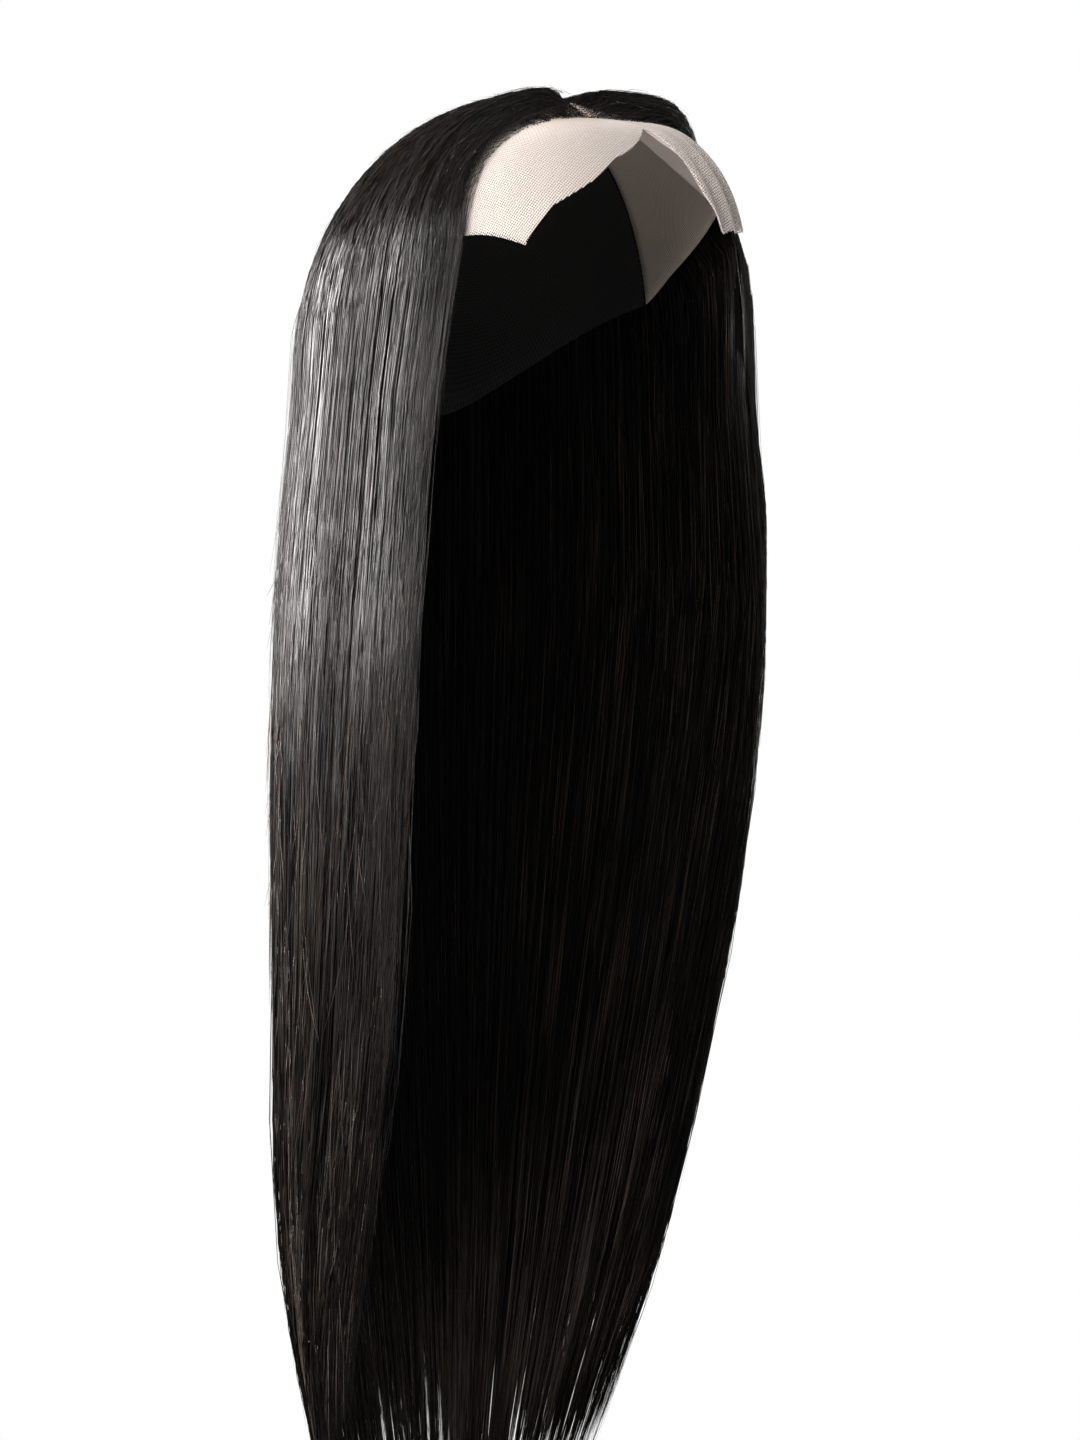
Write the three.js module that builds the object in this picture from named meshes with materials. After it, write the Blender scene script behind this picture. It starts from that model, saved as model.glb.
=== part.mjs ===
// Long straight wig with a lace closure: a stretch-net cap, a lace panel that carries the front hair and
// runs on past the hairline to a notched free edge, and three falls of hair that hang from them.
// Millimetres and degrees, +Z up. The wearer looks along -Y and has the left hand at +X.
// The origin is the inside of the cap at the crown, where the wig sits on a head.
import * as THREE from 'three';

// Parting, a slot over the crown from the hairline back
const PART_FRONT_Y = -44;
const PART_CROWN_Y = 34;
const PART_HALF_WIDTH = 1.5;
const CROWN_SHARE = 0.42;

// Layers from the head outwards. Each has the height of its root at the crown, how much lower that is at the
// front and at the crown end of the parting, and how far it swells beside the parting. Its bend says how
// squarely it turns from the crown to the sides, where 1 is round and less is squarer, with a value of its
// own at the corners over the temples
const CAP_WALL = 1.5;
const LACE_WALL = 1;
const SEAT_GAP = 0.8;
const HEM_FRONT_INSET = 3;
const UNDERSIDE = {
  rootZ: CAP_WALL + SEAT_GAP, frontDrop: 7.6, crownDrop: 1.2, lift: 0, bend: 0.7, cornerBend: 0.36,
};
const TOPSIDE = { rootZ: 6.5, frontDrop: 0, crownDrop: 1.2, lift: 3.2, bend: 0.88, cornerBend: 0.56 };
const CORNER_FROM = 0.5;
const CORNER_TO = 1.38;
const LIFT_AT = 0.28;

// The fall below the head: plan section at each level, as half an ellipse behind and a deeper one in front.
// Edges are the angles of the two front edges from the middle of the back.
const HANG_Z = -128;
const FALL_COLUMNS = [
  'level', 'rightEdge', 'leftEdge', 'rightHalf', 'leftHalf', 'back', 'front', 'centre', 'wall', 'edgeWall',
];
const FALL_ROWS = [
  [-128, 131, 131, 103, 100, 94, 128, 27, 19, 12],
  [-180, 128, 128, 108, 106, 94, 128, 28, 18, 8],
  [-240, 127, 122, 112, 106, 93, 128, 28, 17, 6],
  [-300, 126, 113, 114, 103, 91, 126, 28, 16, 5],
  [-370, 124, 99, 114, 101, 88, 122, 27, 15, 5],
  [-440, 120, 84, 113, 99, 85, 118, 26, 14, 5],
  [-510, 111, 70, 108, 95, 82, 114, 25, 12, 4],
  [-570, 101, 59, 99, 86, 78, 110, 25, 9, 4],
  [-630, 88, 48, 86, 72, 74, 106, 25, 5, 3],
];

// Front edges: shares where the underside starts to rise and where the outside starts to thin, and how much
// of the wall is left at the very edge
const EDGE_FROM = 0.55;
const EDGE_THIN_FROM = 0.88;
const EDGE_THIN_SHARE = 0.25;

// Locks: a crest and a groove each, raised by a share of the wall. The relief grows with the way travelled
// from the parting, where the dome counts its degrees and the hang a number of its own
const LOCK_RELIEF = 0.09;
const CREST_LEAST = 0.4;
const HANG_TRAVEL = 120;
const RELIEF_FROM = 10;
const RELIEF_FULL = 170;
const LOCK_DROP = 26;
const LOCK_STRAY = 16;
const TIP_WALL_SHARE = 0.35;
const HEM_BACK_Z = -598;
const HEM_FRONT_RISE = 42;

// Split of the hair into falls, as shares of the way from the middle of the back to a front edge
const FALL_SPLIT = 0.46;
const FALL_GAP_SHARE = 0.0035;
const FALLS = [
  { name: 'hair_right', from: -1, to: -FALL_SPLIT - FALL_GAP_SHARE, locks: 14, seed: 1000 },
  { name: 'hair_back', from: -FALL_SPLIT, to: FALL_SPLIT, locks: 20, seed: 2000 },
  { name: 'hair_left', from: FALL_SPLIT + FALL_GAP_SHARE, to: 1, locks: 14, seed: 3000 },
];

// Cap and lace: where they end, as angles down the dome, and how finely they are meshed
const SEAM_SHARE = 0.58;
const SEAM_GAP_SHARE = 0.004;
const SEAM_GAP = 1;
const EAR_ANGLE = 76;
const NAPE_ANGLE = 90;
const TEMPLE_ANGLE = 79;
const SHARED_TO_ANGLE = 70;
const CAP_COLUMNS = 28;
const LACE_SIDE_COLUMNS = 8;
const LACE_FLAP_STEP = 4.5;

// Free edge of the lace, cut by hand from the right temple to a notch off the middle and on to the left
// temple: bearing from the middle of the forehead, reach down the dome and height off the forehead
const LACE_EDGE = [
  { bearing: -50, reach: TEMPLE_ANGLE, lift: 0 },
  { bearing: -34.5, reach: 78, lift: 0.3 },
  { bearing: -28, reach: 65.5, lift: 0.6 },
  { bearing: -15.5, reach: 51, lift: 0.6 },
  { bearing: -8, reach: 41, lift: 0.6 },
  { bearing: 12, reach: 30, lift: 0.6 },
  { bearing: 23, reach: 25, lift: 0.8 },
  { bearing: 24, reach: 46, lift: 3 },
  { bearing: 25, reach: 62, lift: 4 },
  { bearing: 29.5, reach: 73, lift: 4 },
  { bearing: 50, reach: TEMPLE_ANGLE, lift: 1.5 },
];

// Rows of the meshes: angles down the dome, then shares of the way from the head to the hem
const DOME_ANGLES = [0, 6, 12, 22, 34, 46, 58, 70, 80, 90];
const HANG_SHARES = [0.1, 0.22, 0.34, 0.46, 0.58, 0.7, 0.8, 0.9, 1];

const FINISHES = {
  hair: { color: 0x171412, roughness: 0.35, metalness: 0 },
  lace: { color: 0xe3d6cb, roughness: 0.8, metalness: 0 },
  cap: { color: 0x1b1919, roughness: 0.9, metalness: 0 },
};

const radians = THREE.MathUtils.degToRad;
const smooth = THREE.MathUtils.smoothstep;
const mix = THREE.MathUtils.lerp;

// A repeatable stray value from 0 to 1 for a whole number
function stray(n) {
  const wave = Math.sin(n * 12.9898) * 43758.5453;
  return wave - Math.floor(wave);
}

// Slopes of a smooth curve through the knots that never overshoots them, level at its first knot
function curveSlopes(xs, ys) {
  const last = xs.length - 1;
  const rise = xs.slice(1).map((x, i) => (ys[i + 1] - ys[i]) / (x - xs[i]));
  return xs.map((_, i) => {
    if (i === 0) return 0;
    if (i === last) return rise[last - 1];
    const product = rise[i - 1] * rise[i];
    return product > 0 ? (2 * product) / (rise[i - 1] + rise[i]) : 0;
  });
}

// Reads a table as smooth curves of its first column: returns a function of that column and a column's name
function smoothTable(columns, rows, sign) {
  const xs = rows.map((row) => sign * row[0]);
  const curves = {};
  columns.forEach((name, c) => {
    const ys = rows.map((row) => row[c]);
    curves[name] = { ys, slopes: curveSlopes(xs, ys) };
  });
  return (name, at) => {
    const x = THREE.MathUtils.clamp(sign * at, xs[0], xs[xs.length - 1]);
    const above = xs.findIndex((knot, i) => i > 0 && x <= knot);
    const i = above - 1;
    const width = xs[i + 1] - xs[i];
    const t = (x - xs[i]) / width;
    const { ys, slopes } = curves[name];
    const from = (1 + 2 * t) * (1 - t) ** 2 * ys[i] + t * (1 - t) ** 2 * width * slopes[i];
    const to = t * t * (3 - 2 * t) * ys[i + 1] + t * t * (t - 1) * width * slopes[i + 1];
    return from + to;
  };
}

const fall = smoothTable(FALL_COLUMNS, FALL_ROWS, -1);

// Angle from the middle of the back, at a level, of a share of the way round to a front edge
function shareAngle(share, z) {
  return share * fall(share < 0 ? 'rightEdge' : 'leftEdge', z);
}

// Plan point at an angle and level, sunk into the hair by the two insets
function ring(angle, z, sideInset, frontInset) {
  const turn = radians(angle);
  const half = fall(angle < 0 ? 'rightHalf' : 'leftHalf', z) - sideInset;
  const behind = Math.cos(turn) > 0;
  const depth = behind ? fall('back', z) - sideInset : fall('front', z) - frontInset;
  return new THREE.Vector2(half * Math.sin(turn), fall('centre', z) + depth * Math.cos(turn));
}

// Thickness of the hair at a share and level, thinner towards the front edges
function wallAt(share, z) {
  return mix(fall('wall', z), fall('edgeWall', z), smooth(Math.abs(share), EDGE_FROM, 1));
}

// Height of a layer along the parting, highest over the origin
function rootHeight(layer, y, sink) {
  const front = Math.max(0, y / PART_FRONT_Y);
  const crown = Math.max(0, y / PART_CROWN_Y);
  return layer.rootZ - sink - layer.frontDrop * front ** 2 - layer.crownDrop * crown ** 2;
}

// Bend of a layer at a share
function bendAt(layer, share) {
  const round = Math.abs(share);
  const corner = smooth(round, CORNER_FROM, 1) * (1 - smooth(round, 1, CORNER_TO));
  return mix(layer.bend, layer.cornerBend, corner);
}

// Point on the dome of a layer: from a root on the parting, down to the ring at the level where hair hangs
function domePoint(layer, root, rim, share, angle, sink) {
  const out = Math.sin(radians(angle));
  const up = Math.cos(radians(angle)) ** bendAt(layer, share);
  const swell = layer.lift * (out / LIFT_AT) * Math.exp(1 - out / LIFT_AT);
  const z = mix(HANG_Z, rootHeight(layer, root.y, sink), up) + swell;
  return new THREE.Vector3(mix(root.x, rim.x, out), mix(root.y, rim.y, out), z);
}

// Place along the parting where the hair at a share takes root, on the slot's edge at a half width
function rootPlace(share, halfWidth) {
  const along = Math.max(0, (Math.abs(share) - CROWN_SHARE) / (1 - CROWN_SHARE));
  const turn = radians(90 * THREE.MathUtils.clamp(share / CROWN_SHARE, -1, 1));
  const y = mix(PART_CROWN_Y, PART_FRONT_Y, along) + halfWidth * Math.cos(turn);
  return new THREE.Vector2(halfWidth * Math.sin(turn), y);
}

// A station down a lock: an angle on the dome, or a height below it
function hairStations(tipZ) {
  const dome = DOME_ANGLES.map((angle) => ({ angle, z: HANG_Z, down: 0 }));
  const hang = HANG_SHARES.map((share) => ({ angle: 90, z: mix(HANG_Z, tipZ, share), down: share }));
  return [...dome, ...hang];
}

// Point of a hair layer at a share and station
function hairPoint(layer, share, station, sideInset, frontInset) {
  const rim = ring(shareAngle(share, station.z), station.z, sideInset, frontInset);
  if (station.down > 0) return new THREE.Vector3(rim.x, rim.y, station.z);
  return domePoint(layer, rootPlace(share, PART_HALF_WIDTH), rim, share, station.angle, 0);
}

// Lower end of the hair at a share: longest at the middle of the back
function hemHeight(share) {
  return HEM_BACK_Z + HEM_FRONT_RISE * Math.abs(share) ** 2;
}

// Faceted body between an outer and an inner sheet over the same grid, closed by walls along the free edges
function shell(outer, inner) {
  const positions = [];
  const places = new Map();
  const place = (point) => {
    const key = point.toArray().map((value) => Math.round(value * 1000)).join();
    if (!places.has(key)) {
      places.set(key, positions.length / 3);
      positions.push(...point.toArray());
    }
    return places.get(key);
  };
  const skins = [outer, inner].map((sheet) => sheet.map((column) => column.map(place)));
  const faces = [];
  const rims = new Map();
  const addFace = (corners) => {
    const picked = [0, 1].map((skin) => corners.map(([i, j]) => skins[skin][i][j]));
    if (new Set(picked[0]).size < 3) return;
    faces.push(picked[0], [...picked[1]].reverse());
    corners.forEach((_, k) => {
      const next = (k + 1) % 3;
      const edge = [picked[0][k], picked[0][next]];
      const twin = `${edge[1]},${edge[0]}`;
      if (!rims.delete(twin)) rims.set(edge.join(), [...edge, picked[1][k], picked[1][next]]);
    });
  };
  for (let i = 0; i + 1 < outer.length; i += 1) {
    for (let j = 0; j + 1 < outer[i].length; j += 1) {
      addFace([[i, j], [i + 1, j + 1], [i, j + 1]]);
      addFace([[i, j], [i + 1, j], [i + 1, j + 1]]);
    }
  }
  rims.forEach(([a, b, c, d]) => faces.push([b, a, c], [b, c, d]));
  const geometry = new THREE.BufferGeometry();
  geometry.setAttribute('position', new THREE.Float32BufferAttribute(positions, 3));
  geometry.setIndex(faces.flat());
  geometry.computeVertexNormals();
  return geometry;
}

// One fall of hair: pointed locks side by side, fused to the wall behind them
function hairFall({ from, to, locks, seed }) {
  const columns = 2 * locks;
  const outer = [];
  const inner = [];
  for (let i = 0; i <= columns; i += 1) {
    const share = mix(from, to, i / columns);
    const crest = i % 2;
    const vary = stray(seed + i);
    const tipZ = hemHeight(share) - crest * LOCK_DROP + (vary - 0.5) * LOCK_STRAY;
    const thin = 1 - (1 - EDGE_THIN_SHARE) * smooth(Math.abs(share), EDGE_THIN_FROM, 1);
    const stations = hairStations(tipZ);
    const under = stations.map((at) => hairPoint(UNDERSIDE, share, at, wallAt(share, at.z), HEM_FRONT_INSET));
    outer.push(stations.map((at, j) => {
      const top = hairPoint(TOPSIDE, share, at, 0, 0);
      const grown = smooth(at.angle + HANG_TRAVEL * at.down, RELIEF_FROM, RELIEF_FULL);
      const relief = 1 + LOCK_RELIEF * (crest ? CREST_LEAST + vary : -1) * grown;
      const tip = at.down === 1 ? TIP_WALL_SHARE : 1;
      return under[j].clone().lerp(top, thin * relief * tip);
    }));
    inner.push(under);
  }
  return shell(outer, inner);
}

// Point of the cap or lace under the hair, sunk below the hair's underside. Past the front edges, where
// the share is over 1, it keeps the form that it has at the edge
function capPoint(root, share, angleDown, sink) {
  const rim = ring(shareAngle(share, HANG_Z), HANG_Z, wallAt(share, HANG_Z) + sink, HEM_FRONT_INSET + sink);
  return domePoint(UNDERSIDE, root, rim, share, angleDown, sink);
}

// Angles down the dome for a piece that ends at a given angle: the shared rows, then its own edge
function anglesTo(end) {
  return [...DOME_ANGLES.filter((angle) => angle <= SHARED_TO_ANGLE), end];
}

// Stretch-net cap over the back of the head
function capNet() {
  const sheets = [SEAT_GAP, SEAT_GAP + CAP_WALL].map((sink) => {
    const columns = [];
    for (let i = 0; i <= CAP_COLUMNS; i += 1) {
      const share = mix(-SEAM_SHARE, SEAM_SHARE, i / CAP_COLUMNS);
      const end = mix(NAPE_ANGLE, EAR_ANGLE, smooth(Math.abs(share), 0, SEAM_SHARE));
      const root = new THREE.Vector2(0, rootPlace(SEAM_SHARE, 0).y + SEAM_GAP);
      columns.push(anglesTo(end).map((down) => capPoint(root, share, down, sink)));
    }
    return columns;
  });
  return shell(...sheets);
}

// One strip of the lace beside the parting, at a share, from the seam at 0 to the hairline at 1
function laceSide(side, along) {
  const share = side * mix(SEAM_SHARE + SEAM_GAP_SHARE, 1, along);
  const end = mix(EAR_ANGLE, TEMPLE_ANGLE, along);
  return { root: rootPlace(share, 0), share, downs: anglesTo(end), lift: 0 };
}

// One strip of the flap on the forehead, from the front end of the parting to the free edge
function laceFlap({ bearing, reach, lift }) {
  const front = 180 - Math.abs(bearing);
  const share = bearing < 0 ? -front / fall('rightEdge', HANG_Z) : front / fall('leftEdge', HANG_Z);
  const downs = anglesTo(TEMPLE_ANGLE).map((down) => (down * reach) / TEMPLE_ANGLE);
  return { root: rootPlace(1, 0), share, downs, lift };
}

// Free edge of the flap, with stations added between the corners
function flapStations() {
  return LACE_EDGE.slice(1).flatMap((to, i) => {
    const from = LACE_EDGE[i];
    const count = Math.ceil((to.bearing - from.bearing) / LACE_FLAP_STEP);
    return Array.from({ length: count }, (_, k) => ({
      bearing: mix(from.bearing, to.bearing, (k + 1) / count),
      reach: mix(from.reach, to.reach, (k + 1) / count),
      lift: mix(from.lift, to.lift, (k + 1) / count),
    }));
  });
}

// Lace panel: left side back to front, round the forehead, then the right side front to back
function laceClosure() {
  const alongs = Array.from({ length: LACE_SIDE_COLUMNS + 1 }, (_, i) => i / LACE_SIDE_COLUMNS);
  const strips = [
    ...alongs.map((along) => laceSide(1, along)),
    ...flapStations().reverse().slice(1).map(laceFlap),
    ...alongs.reverse().map((along) => laceSide(-1, along)),
  ];
  const sheets = [SEAT_GAP, SEAT_GAP + LACE_WALL].map((sink) => strips.map(({ root, share, downs, lift }) => (
    downs.map((down) => capPoint(root, share, down, sink - lift * (down / downs.at(-1)) ** 2))
  )));
  return shell(...sheets);
}

function piece(name, geometry, finish) {
  const mesh = new THREE.Mesh(geometry, new THREE.MeshStandardMaterial(finish));
  mesh.name = name;
  return mesh;
}

const wig = new THREE.Group();
wig.add(piece('cap', capNet(), FINISHES.cap));
wig.add(piece('lace_closure', laceClosure(), FINISHES.lace));
FALLS.forEach((row) => wig.add(piece(row.name, hairFall(row), FINISHES.hair)));

export default wig;
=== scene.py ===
"""Long straight dark wig with a lace closure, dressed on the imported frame.

Metres and degrees, +Z up. The wearer looks along -Y and has the left hand at +X.
"""

from __future__ import annotations

import logging
import math
from dataclasses import dataclass, field
from enum import Enum
from typing import Any, Sequence, Union

import bpy
import numpy as np
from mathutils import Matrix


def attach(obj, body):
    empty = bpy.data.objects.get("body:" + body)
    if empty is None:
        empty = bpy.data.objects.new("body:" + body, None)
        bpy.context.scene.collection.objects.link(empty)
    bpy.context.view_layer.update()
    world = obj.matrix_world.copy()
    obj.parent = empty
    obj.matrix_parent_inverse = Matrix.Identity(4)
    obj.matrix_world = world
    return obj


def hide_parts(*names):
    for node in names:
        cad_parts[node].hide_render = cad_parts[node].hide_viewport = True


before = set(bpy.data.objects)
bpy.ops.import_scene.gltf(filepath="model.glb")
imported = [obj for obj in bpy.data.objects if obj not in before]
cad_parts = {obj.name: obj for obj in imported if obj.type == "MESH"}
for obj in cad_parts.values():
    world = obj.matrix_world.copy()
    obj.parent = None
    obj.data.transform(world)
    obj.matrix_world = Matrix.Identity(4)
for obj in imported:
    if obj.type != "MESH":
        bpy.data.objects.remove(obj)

Array = np.ndarray
Point = tuple[float, float, float]
Colour = tuple[float, float, float]
Value = Union["Socket", float]
LOG = logging.getLogger("wig")
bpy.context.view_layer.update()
STRAND_MAP = "OFBake"
STRAND_LENGTH = 0.75


def smoothstep(x: Array, low: float, high: float) -> Array:
    """Smooth rise from 0 at low to 1 at high: t squared times (3 - 2t)."""
    t = np.clip((x - low) / (high - low), 0.0, 1.0)
    return t * t * (3.0 - 2.0 * t)


def mix(a: Any, b: Any, t: Any) -> Any:
    """Straight blend from a at t 0 to b at t 1."""
    return a + (b - a) * t


def unit(vectors: Array) -> Array:
    """Vectors along the last axis, scaled to length 1."""
    return vectors / np.maximum(np.linalg.norm(vectors, axis=-1, keepdims=True), 1e-12)


def plateau(x: Array, start: float, full: float, fading: float, gone: float) -> Array:
    """Smooth rise from 0 at start to 1 at full, then a smooth fall from 1 at fading to 0 at gone."""
    return smoothstep(x, start, full) * (1 - smoothstep(x, fading, gone))


class Column(Enum):
    """Columns of the table of the fall."""

    LEVEL = 0
    RIGHT_EDGE = 1
    LEFT_EDGE = 2
    RIGHT_HALF = 3
    LEFT_HALF = 4
    BACK = 5
    FRONT = 6
    CENTRE = 7
    WALL = 8
    EDGE_WALL = 9


@dataclass(frozen=True)
class FallTable:
    """Plan section of the hair at levels below the crown: half an ellipse behind, a deeper one in front."""

    rows: tuple[tuple[float, ...], ...] = (
        (-0.128, 131, 131, 0.103, 0.100, 0.094, 0.128, 0.027, 0.019, 0.012),
        (-0.180, 128, 128, 0.108, 0.106, 0.094, 0.128, 0.028, 0.018, 0.008),
        (-0.240, 127, 122, 0.112, 0.106, 0.093, 0.128, 0.028, 0.017, 0.006),
        (-0.300, 126, 113, 0.114, 0.103, 0.091, 0.126, 0.028, 0.016, 0.005),
        (-0.370, 124, 99, 0.114, 0.101, 0.088, 0.122, 0.027, 0.015, 0.005),
        (-0.440, 120, 84, 0.113, 0.099, 0.085, 0.118, 0.026, 0.014, 0.005),
        (-0.510, 111, 70, 0.108, 0.095, 0.082, 0.114, 0.025, 0.012, 0.004),
        (-0.570, 101, 59, 0.099, 0.086, 0.078, 0.110, 0.025, 0.009, 0.004),
        (-0.630, 88, 48, 0.086, 0.072, 0.074, 0.106, 0.025, 0.005, 0.003),
    )

    def read(self, column: Column, z: Array) -> Array:
        """Smooth value of a column at a level.

        A cubic runs through the rows. Its slope at a row is the harmonic mean of the two slopes beside it
        where they have one sign, and 0 elsewhere and at the top row, so it never overshoots.

        Args:
            column: the column to read.
            z: levels, in metres.

        Returns:
            The values, with the shape of z.
        """
        table = np.array(self.rows)
        depths, values = -table[:, Column.LEVEL.value], table[:, column.value]
        rises = np.diff(values) / np.diff(depths)
        product, total = rises[:-1] * rises[1:], rises[:-1] + rises[1:]
        means = np.where(product > 0, 2 * product / np.where(total == 0, 1, total), 0)
        slopes = np.concatenate([[0.0], means, rises[-1:]])
        x = np.clip(-z, depths[0], depths[-1])
        i = np.clip(np.searchsorted(depths, x) - 1, 0, len(depths) - 2)
        width = depths[i + 1] - depths[i]
        t = (x - depths[i]) / width
        start = (1 + 2 * t) * (1 - t) ** 2 * values[i] + t * (1 - t) ** 2 * width * slopes[i]
        end = t * t * (3 - 2 * t) * values[i + 1] + t * t * (t - 1) * width * slopes[i + 1]
        return start + end


@dataclass(frozen=True)
class Layer:
    """A dome of the wig: its height on the parting, how that drops, its swells and how squarely it bends."""

    root_z: float
    front_drop: float
    crown_drop: float
    lift: float
    left_lift: float
    bend: float
    corner_bend: float


@dataclass(frozen=True)
class HairForm:
    """Form of the whole head of hair, as flow lines from the parting over the dome and down to the hem."""

    table: FallTable = FallTable()
    underside: Layer = Layer(0.0023, 0.0076, 0.0012, 0.0, 0.004, 0.7, 0.36)
    topside: Layer = Layer(0.0065, 0.0, 0.0012, 0.0032, 0.0095, 0.88, 0.56)
    part_front: float = -0.044
    part_crown: float = 0.034
    part_half: float = 0.0015
    crown_share: float = 0.42
    hang_z: float = -0.128
    lift_at: float = 0.28
    front_inset: float = 0.003
    hem_back_z: float = -0.598
    hem_front_rise: float = 0.042
    rim_edge: float = 131.0
    left_lift_at: float = 0.60
    left_lift_width: float = 0.26
    left_set_back: float = 0.09
    right_set_back: float = 0.03
    left_dip: float = 0.6
    edge_closing: float = 0.66
    corner_span: tuple[float, ...] = (0.5, 1.0, 1.0, 1.38)
    left_span: tuple[float, ...] = (0.35, 0.75, 1.0, 1.3)
    temple_back_span: tuple[float, ...] = (30.0, 52.0, 66.0, 78.0)
    temple_dip_span: tuple[float, ...] = (42.0, 58.0, 62.0, 80.0)
    axis_y: float = 0.02
    upright_z: float = -0.12
    upward: float = 0.08
    lowest_z: float = -0.646

    def share_angle(self, share: Array, z: Array) -> Array:
        """Degrees from the middle of the back of a share of the way round to the front edge, at a level.

        Args:
            share: shares of the way round, negative on the right.
            z: levels.

        Returns:
            Degrees.
        """
        right = self.table.read(Column.RIGHT_EDGE, z)
        left = self.table.read(Column.LEFT_EDGE, z)
        return share * np.where(share < 0, right, left)

    def ring(self, angle: Array, z: Array, side_inset: Array, front_inset: Array) -> Array:
        """Plan point of the outline at an angle and level, sunk inwards.

        x is the half width times the sine of the angle. y is the centre plus the depth, behind or in front,
        times the cosine.

        Args:
            angle: degrees from the middle of the back, positive to the wearer's left.
            z: levels.
            side_inset: how far the sides and back are sunk.
            front_inset: how far the front is sunk.

        Returns:
            Points with x and y on the last axis.
        """
        turn = np.radians(angle)
        right = self.table.read(Column.RIGHT_HALF, z)
        left = self.table.read(Column.LEFT_HALF, z)
        half = np.where(angle < 0, right, left) - side_inset
        back = self.table.read(Column.BACK, z) - side_inset
        front = self.table.read(Column.FRONT, z) - front_inset
        depth = np.where(np.cos(turn) > 0, back, front)
        centre = self.table.read(Column.CENTRE, z)
        return np.stack([half * np.sin(turn), centre + depth * np.cos(turn)], axis=-1)

    def wall(self, share: Array, z: Array) -> Array:
        """Thickness of the hair at a share and level, thinner towards the front edges.

        Args:
            share: shares of the way round.
            z: levels.

        Returns:
            Thicknesses.
        """
        middle = self.table.read(Column.WALL, z)
        edge = self.table.read(Column.EDGE_WALL, z)
        return mix(middle, edge, smoothstep(np.abs(share), 0.55, 1.0))

    def root(self, share: Array, half_width: float) -> Array:
        """Plan point on the edge of the parting where the hair of a share takes root.

        A half circle round the crown end of the parting goes over into its two straight sides.

        Args:
            share: shares of the way round.
            half_width: half the width of the parting.

        Returns:
            Points with x and y on the last axis.
        """
        along = np.maximum(0.0, (np.abs(share) - self.crown_share) / (1 - self.crown_share))
        turn = np.radians(90 * np.clip(share / self.crown_share, -1, 1))
        y = mix(self.part_crown, self.part_front, along) + half_width * np.cos(turn)
        return np.stack([half_width * np.sin(turn), y], axis=-1)

    def dome(self, layer: Layer, root: Array, rim: Array, share: Array, angle: Array, sink: Array) -> Array:
        """Point of a layer over the head.

        In plan it goes from the root to the rim by the sine of the angle. Its height falls by the cosine
        raised to the layer's bend, and a swell beside the parting is added, with a second one on the left.

        Args:
            layer: the layer.
            root: plan points on the parting.
            rim: plan points where the hair starts to hang.
            share: shares of the way round, for the squarer bend over the temples.
            angle: degrees down the dome.
            sink: how far the layer is lowered at the parting.

        Returns:
            Points with x, y and z on the last axis.
        """
        out = np.sin(np.radians(angle))
        corner = plateau(np.abs(share), *self.corner_span)
        bend = mix(layer.bend, layer.corner_bend, corner)
        up = np.maximum(np.cos(np.radians(angle)), 0.0) ** bend
        front = np.maximum(0.0, root[..., 1] / self.part_front)
        crown = np.maximum(0.0, root[..., 1] / self.part_crown)
        top = layer.root_z - sink - layer.front_drop * front**2 - layer.crown_drop * crown**2
        swell = layer.lift * (out / self.lift_at) * np.exp(1 - out / self.lift_at)
        left = plateau(share, *self.left_span)
        fuller = layer.left_lift * left * np.exp(-(((out - self.left_lift_at) / self.left_lift_width) ** 2))
        plan = mix(root, rim, out[..., None])
        z = mix(self.hang_z, top, up) + swell + fuller
        return np.concatenate([plan, z[..., None]], axis=-1)

    def sheet_point(
        self, layer: Layer, share: Array, angle: Array, z: Array, inset: Array, front: float
    ) -> Array:
        """Point of the underside or the topside of the hair, on the dome or below it.

        Args:
            layer: the side of the hair.
            share: shares of the way round.
            angle: degrees down the dome.
            z: levels.
            inset: how far the sides and back are sunk.
            front: how far the front is sunk.

        Returns:
            Points with x, y and z on the last axis.
        """
        rim = self.ring(self.share_angle(share, z), z, inset, front + 0 * z)
        domed = self.dome(layer, self.root(share, self.part_half), rim, share, angle, 0.0 * z)
        hanging = np.concatenate([rim, z[..., None]], axis=-1)
        return np.where((z < self.hang_z)[..., None], hanging, domed)

    def set_back(self, share: Array, angle: Array, z: Array) -> Array:
        """Share moved back from the front edges: over the temple on the left, and at the rim on the right.

        Args:
            share: shares of the way round.
            angle: degrees down the dome.
            z: levels.

        Returns:
            The moved shares.
        """
        temple = plateau(angle, *self.temple_back_span)
        rim = smoothstep(angle, 80.0, 90.0) * (1 - smoothstep(-z, 0.125, 0.19))
        left = self.left_set_back * smoothstep(share, 0.5, 1.0) * temple
        right = self.right_set_back * smoothstep(-share, 0.5, 1.0) * rim
        return share - left + right

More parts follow.
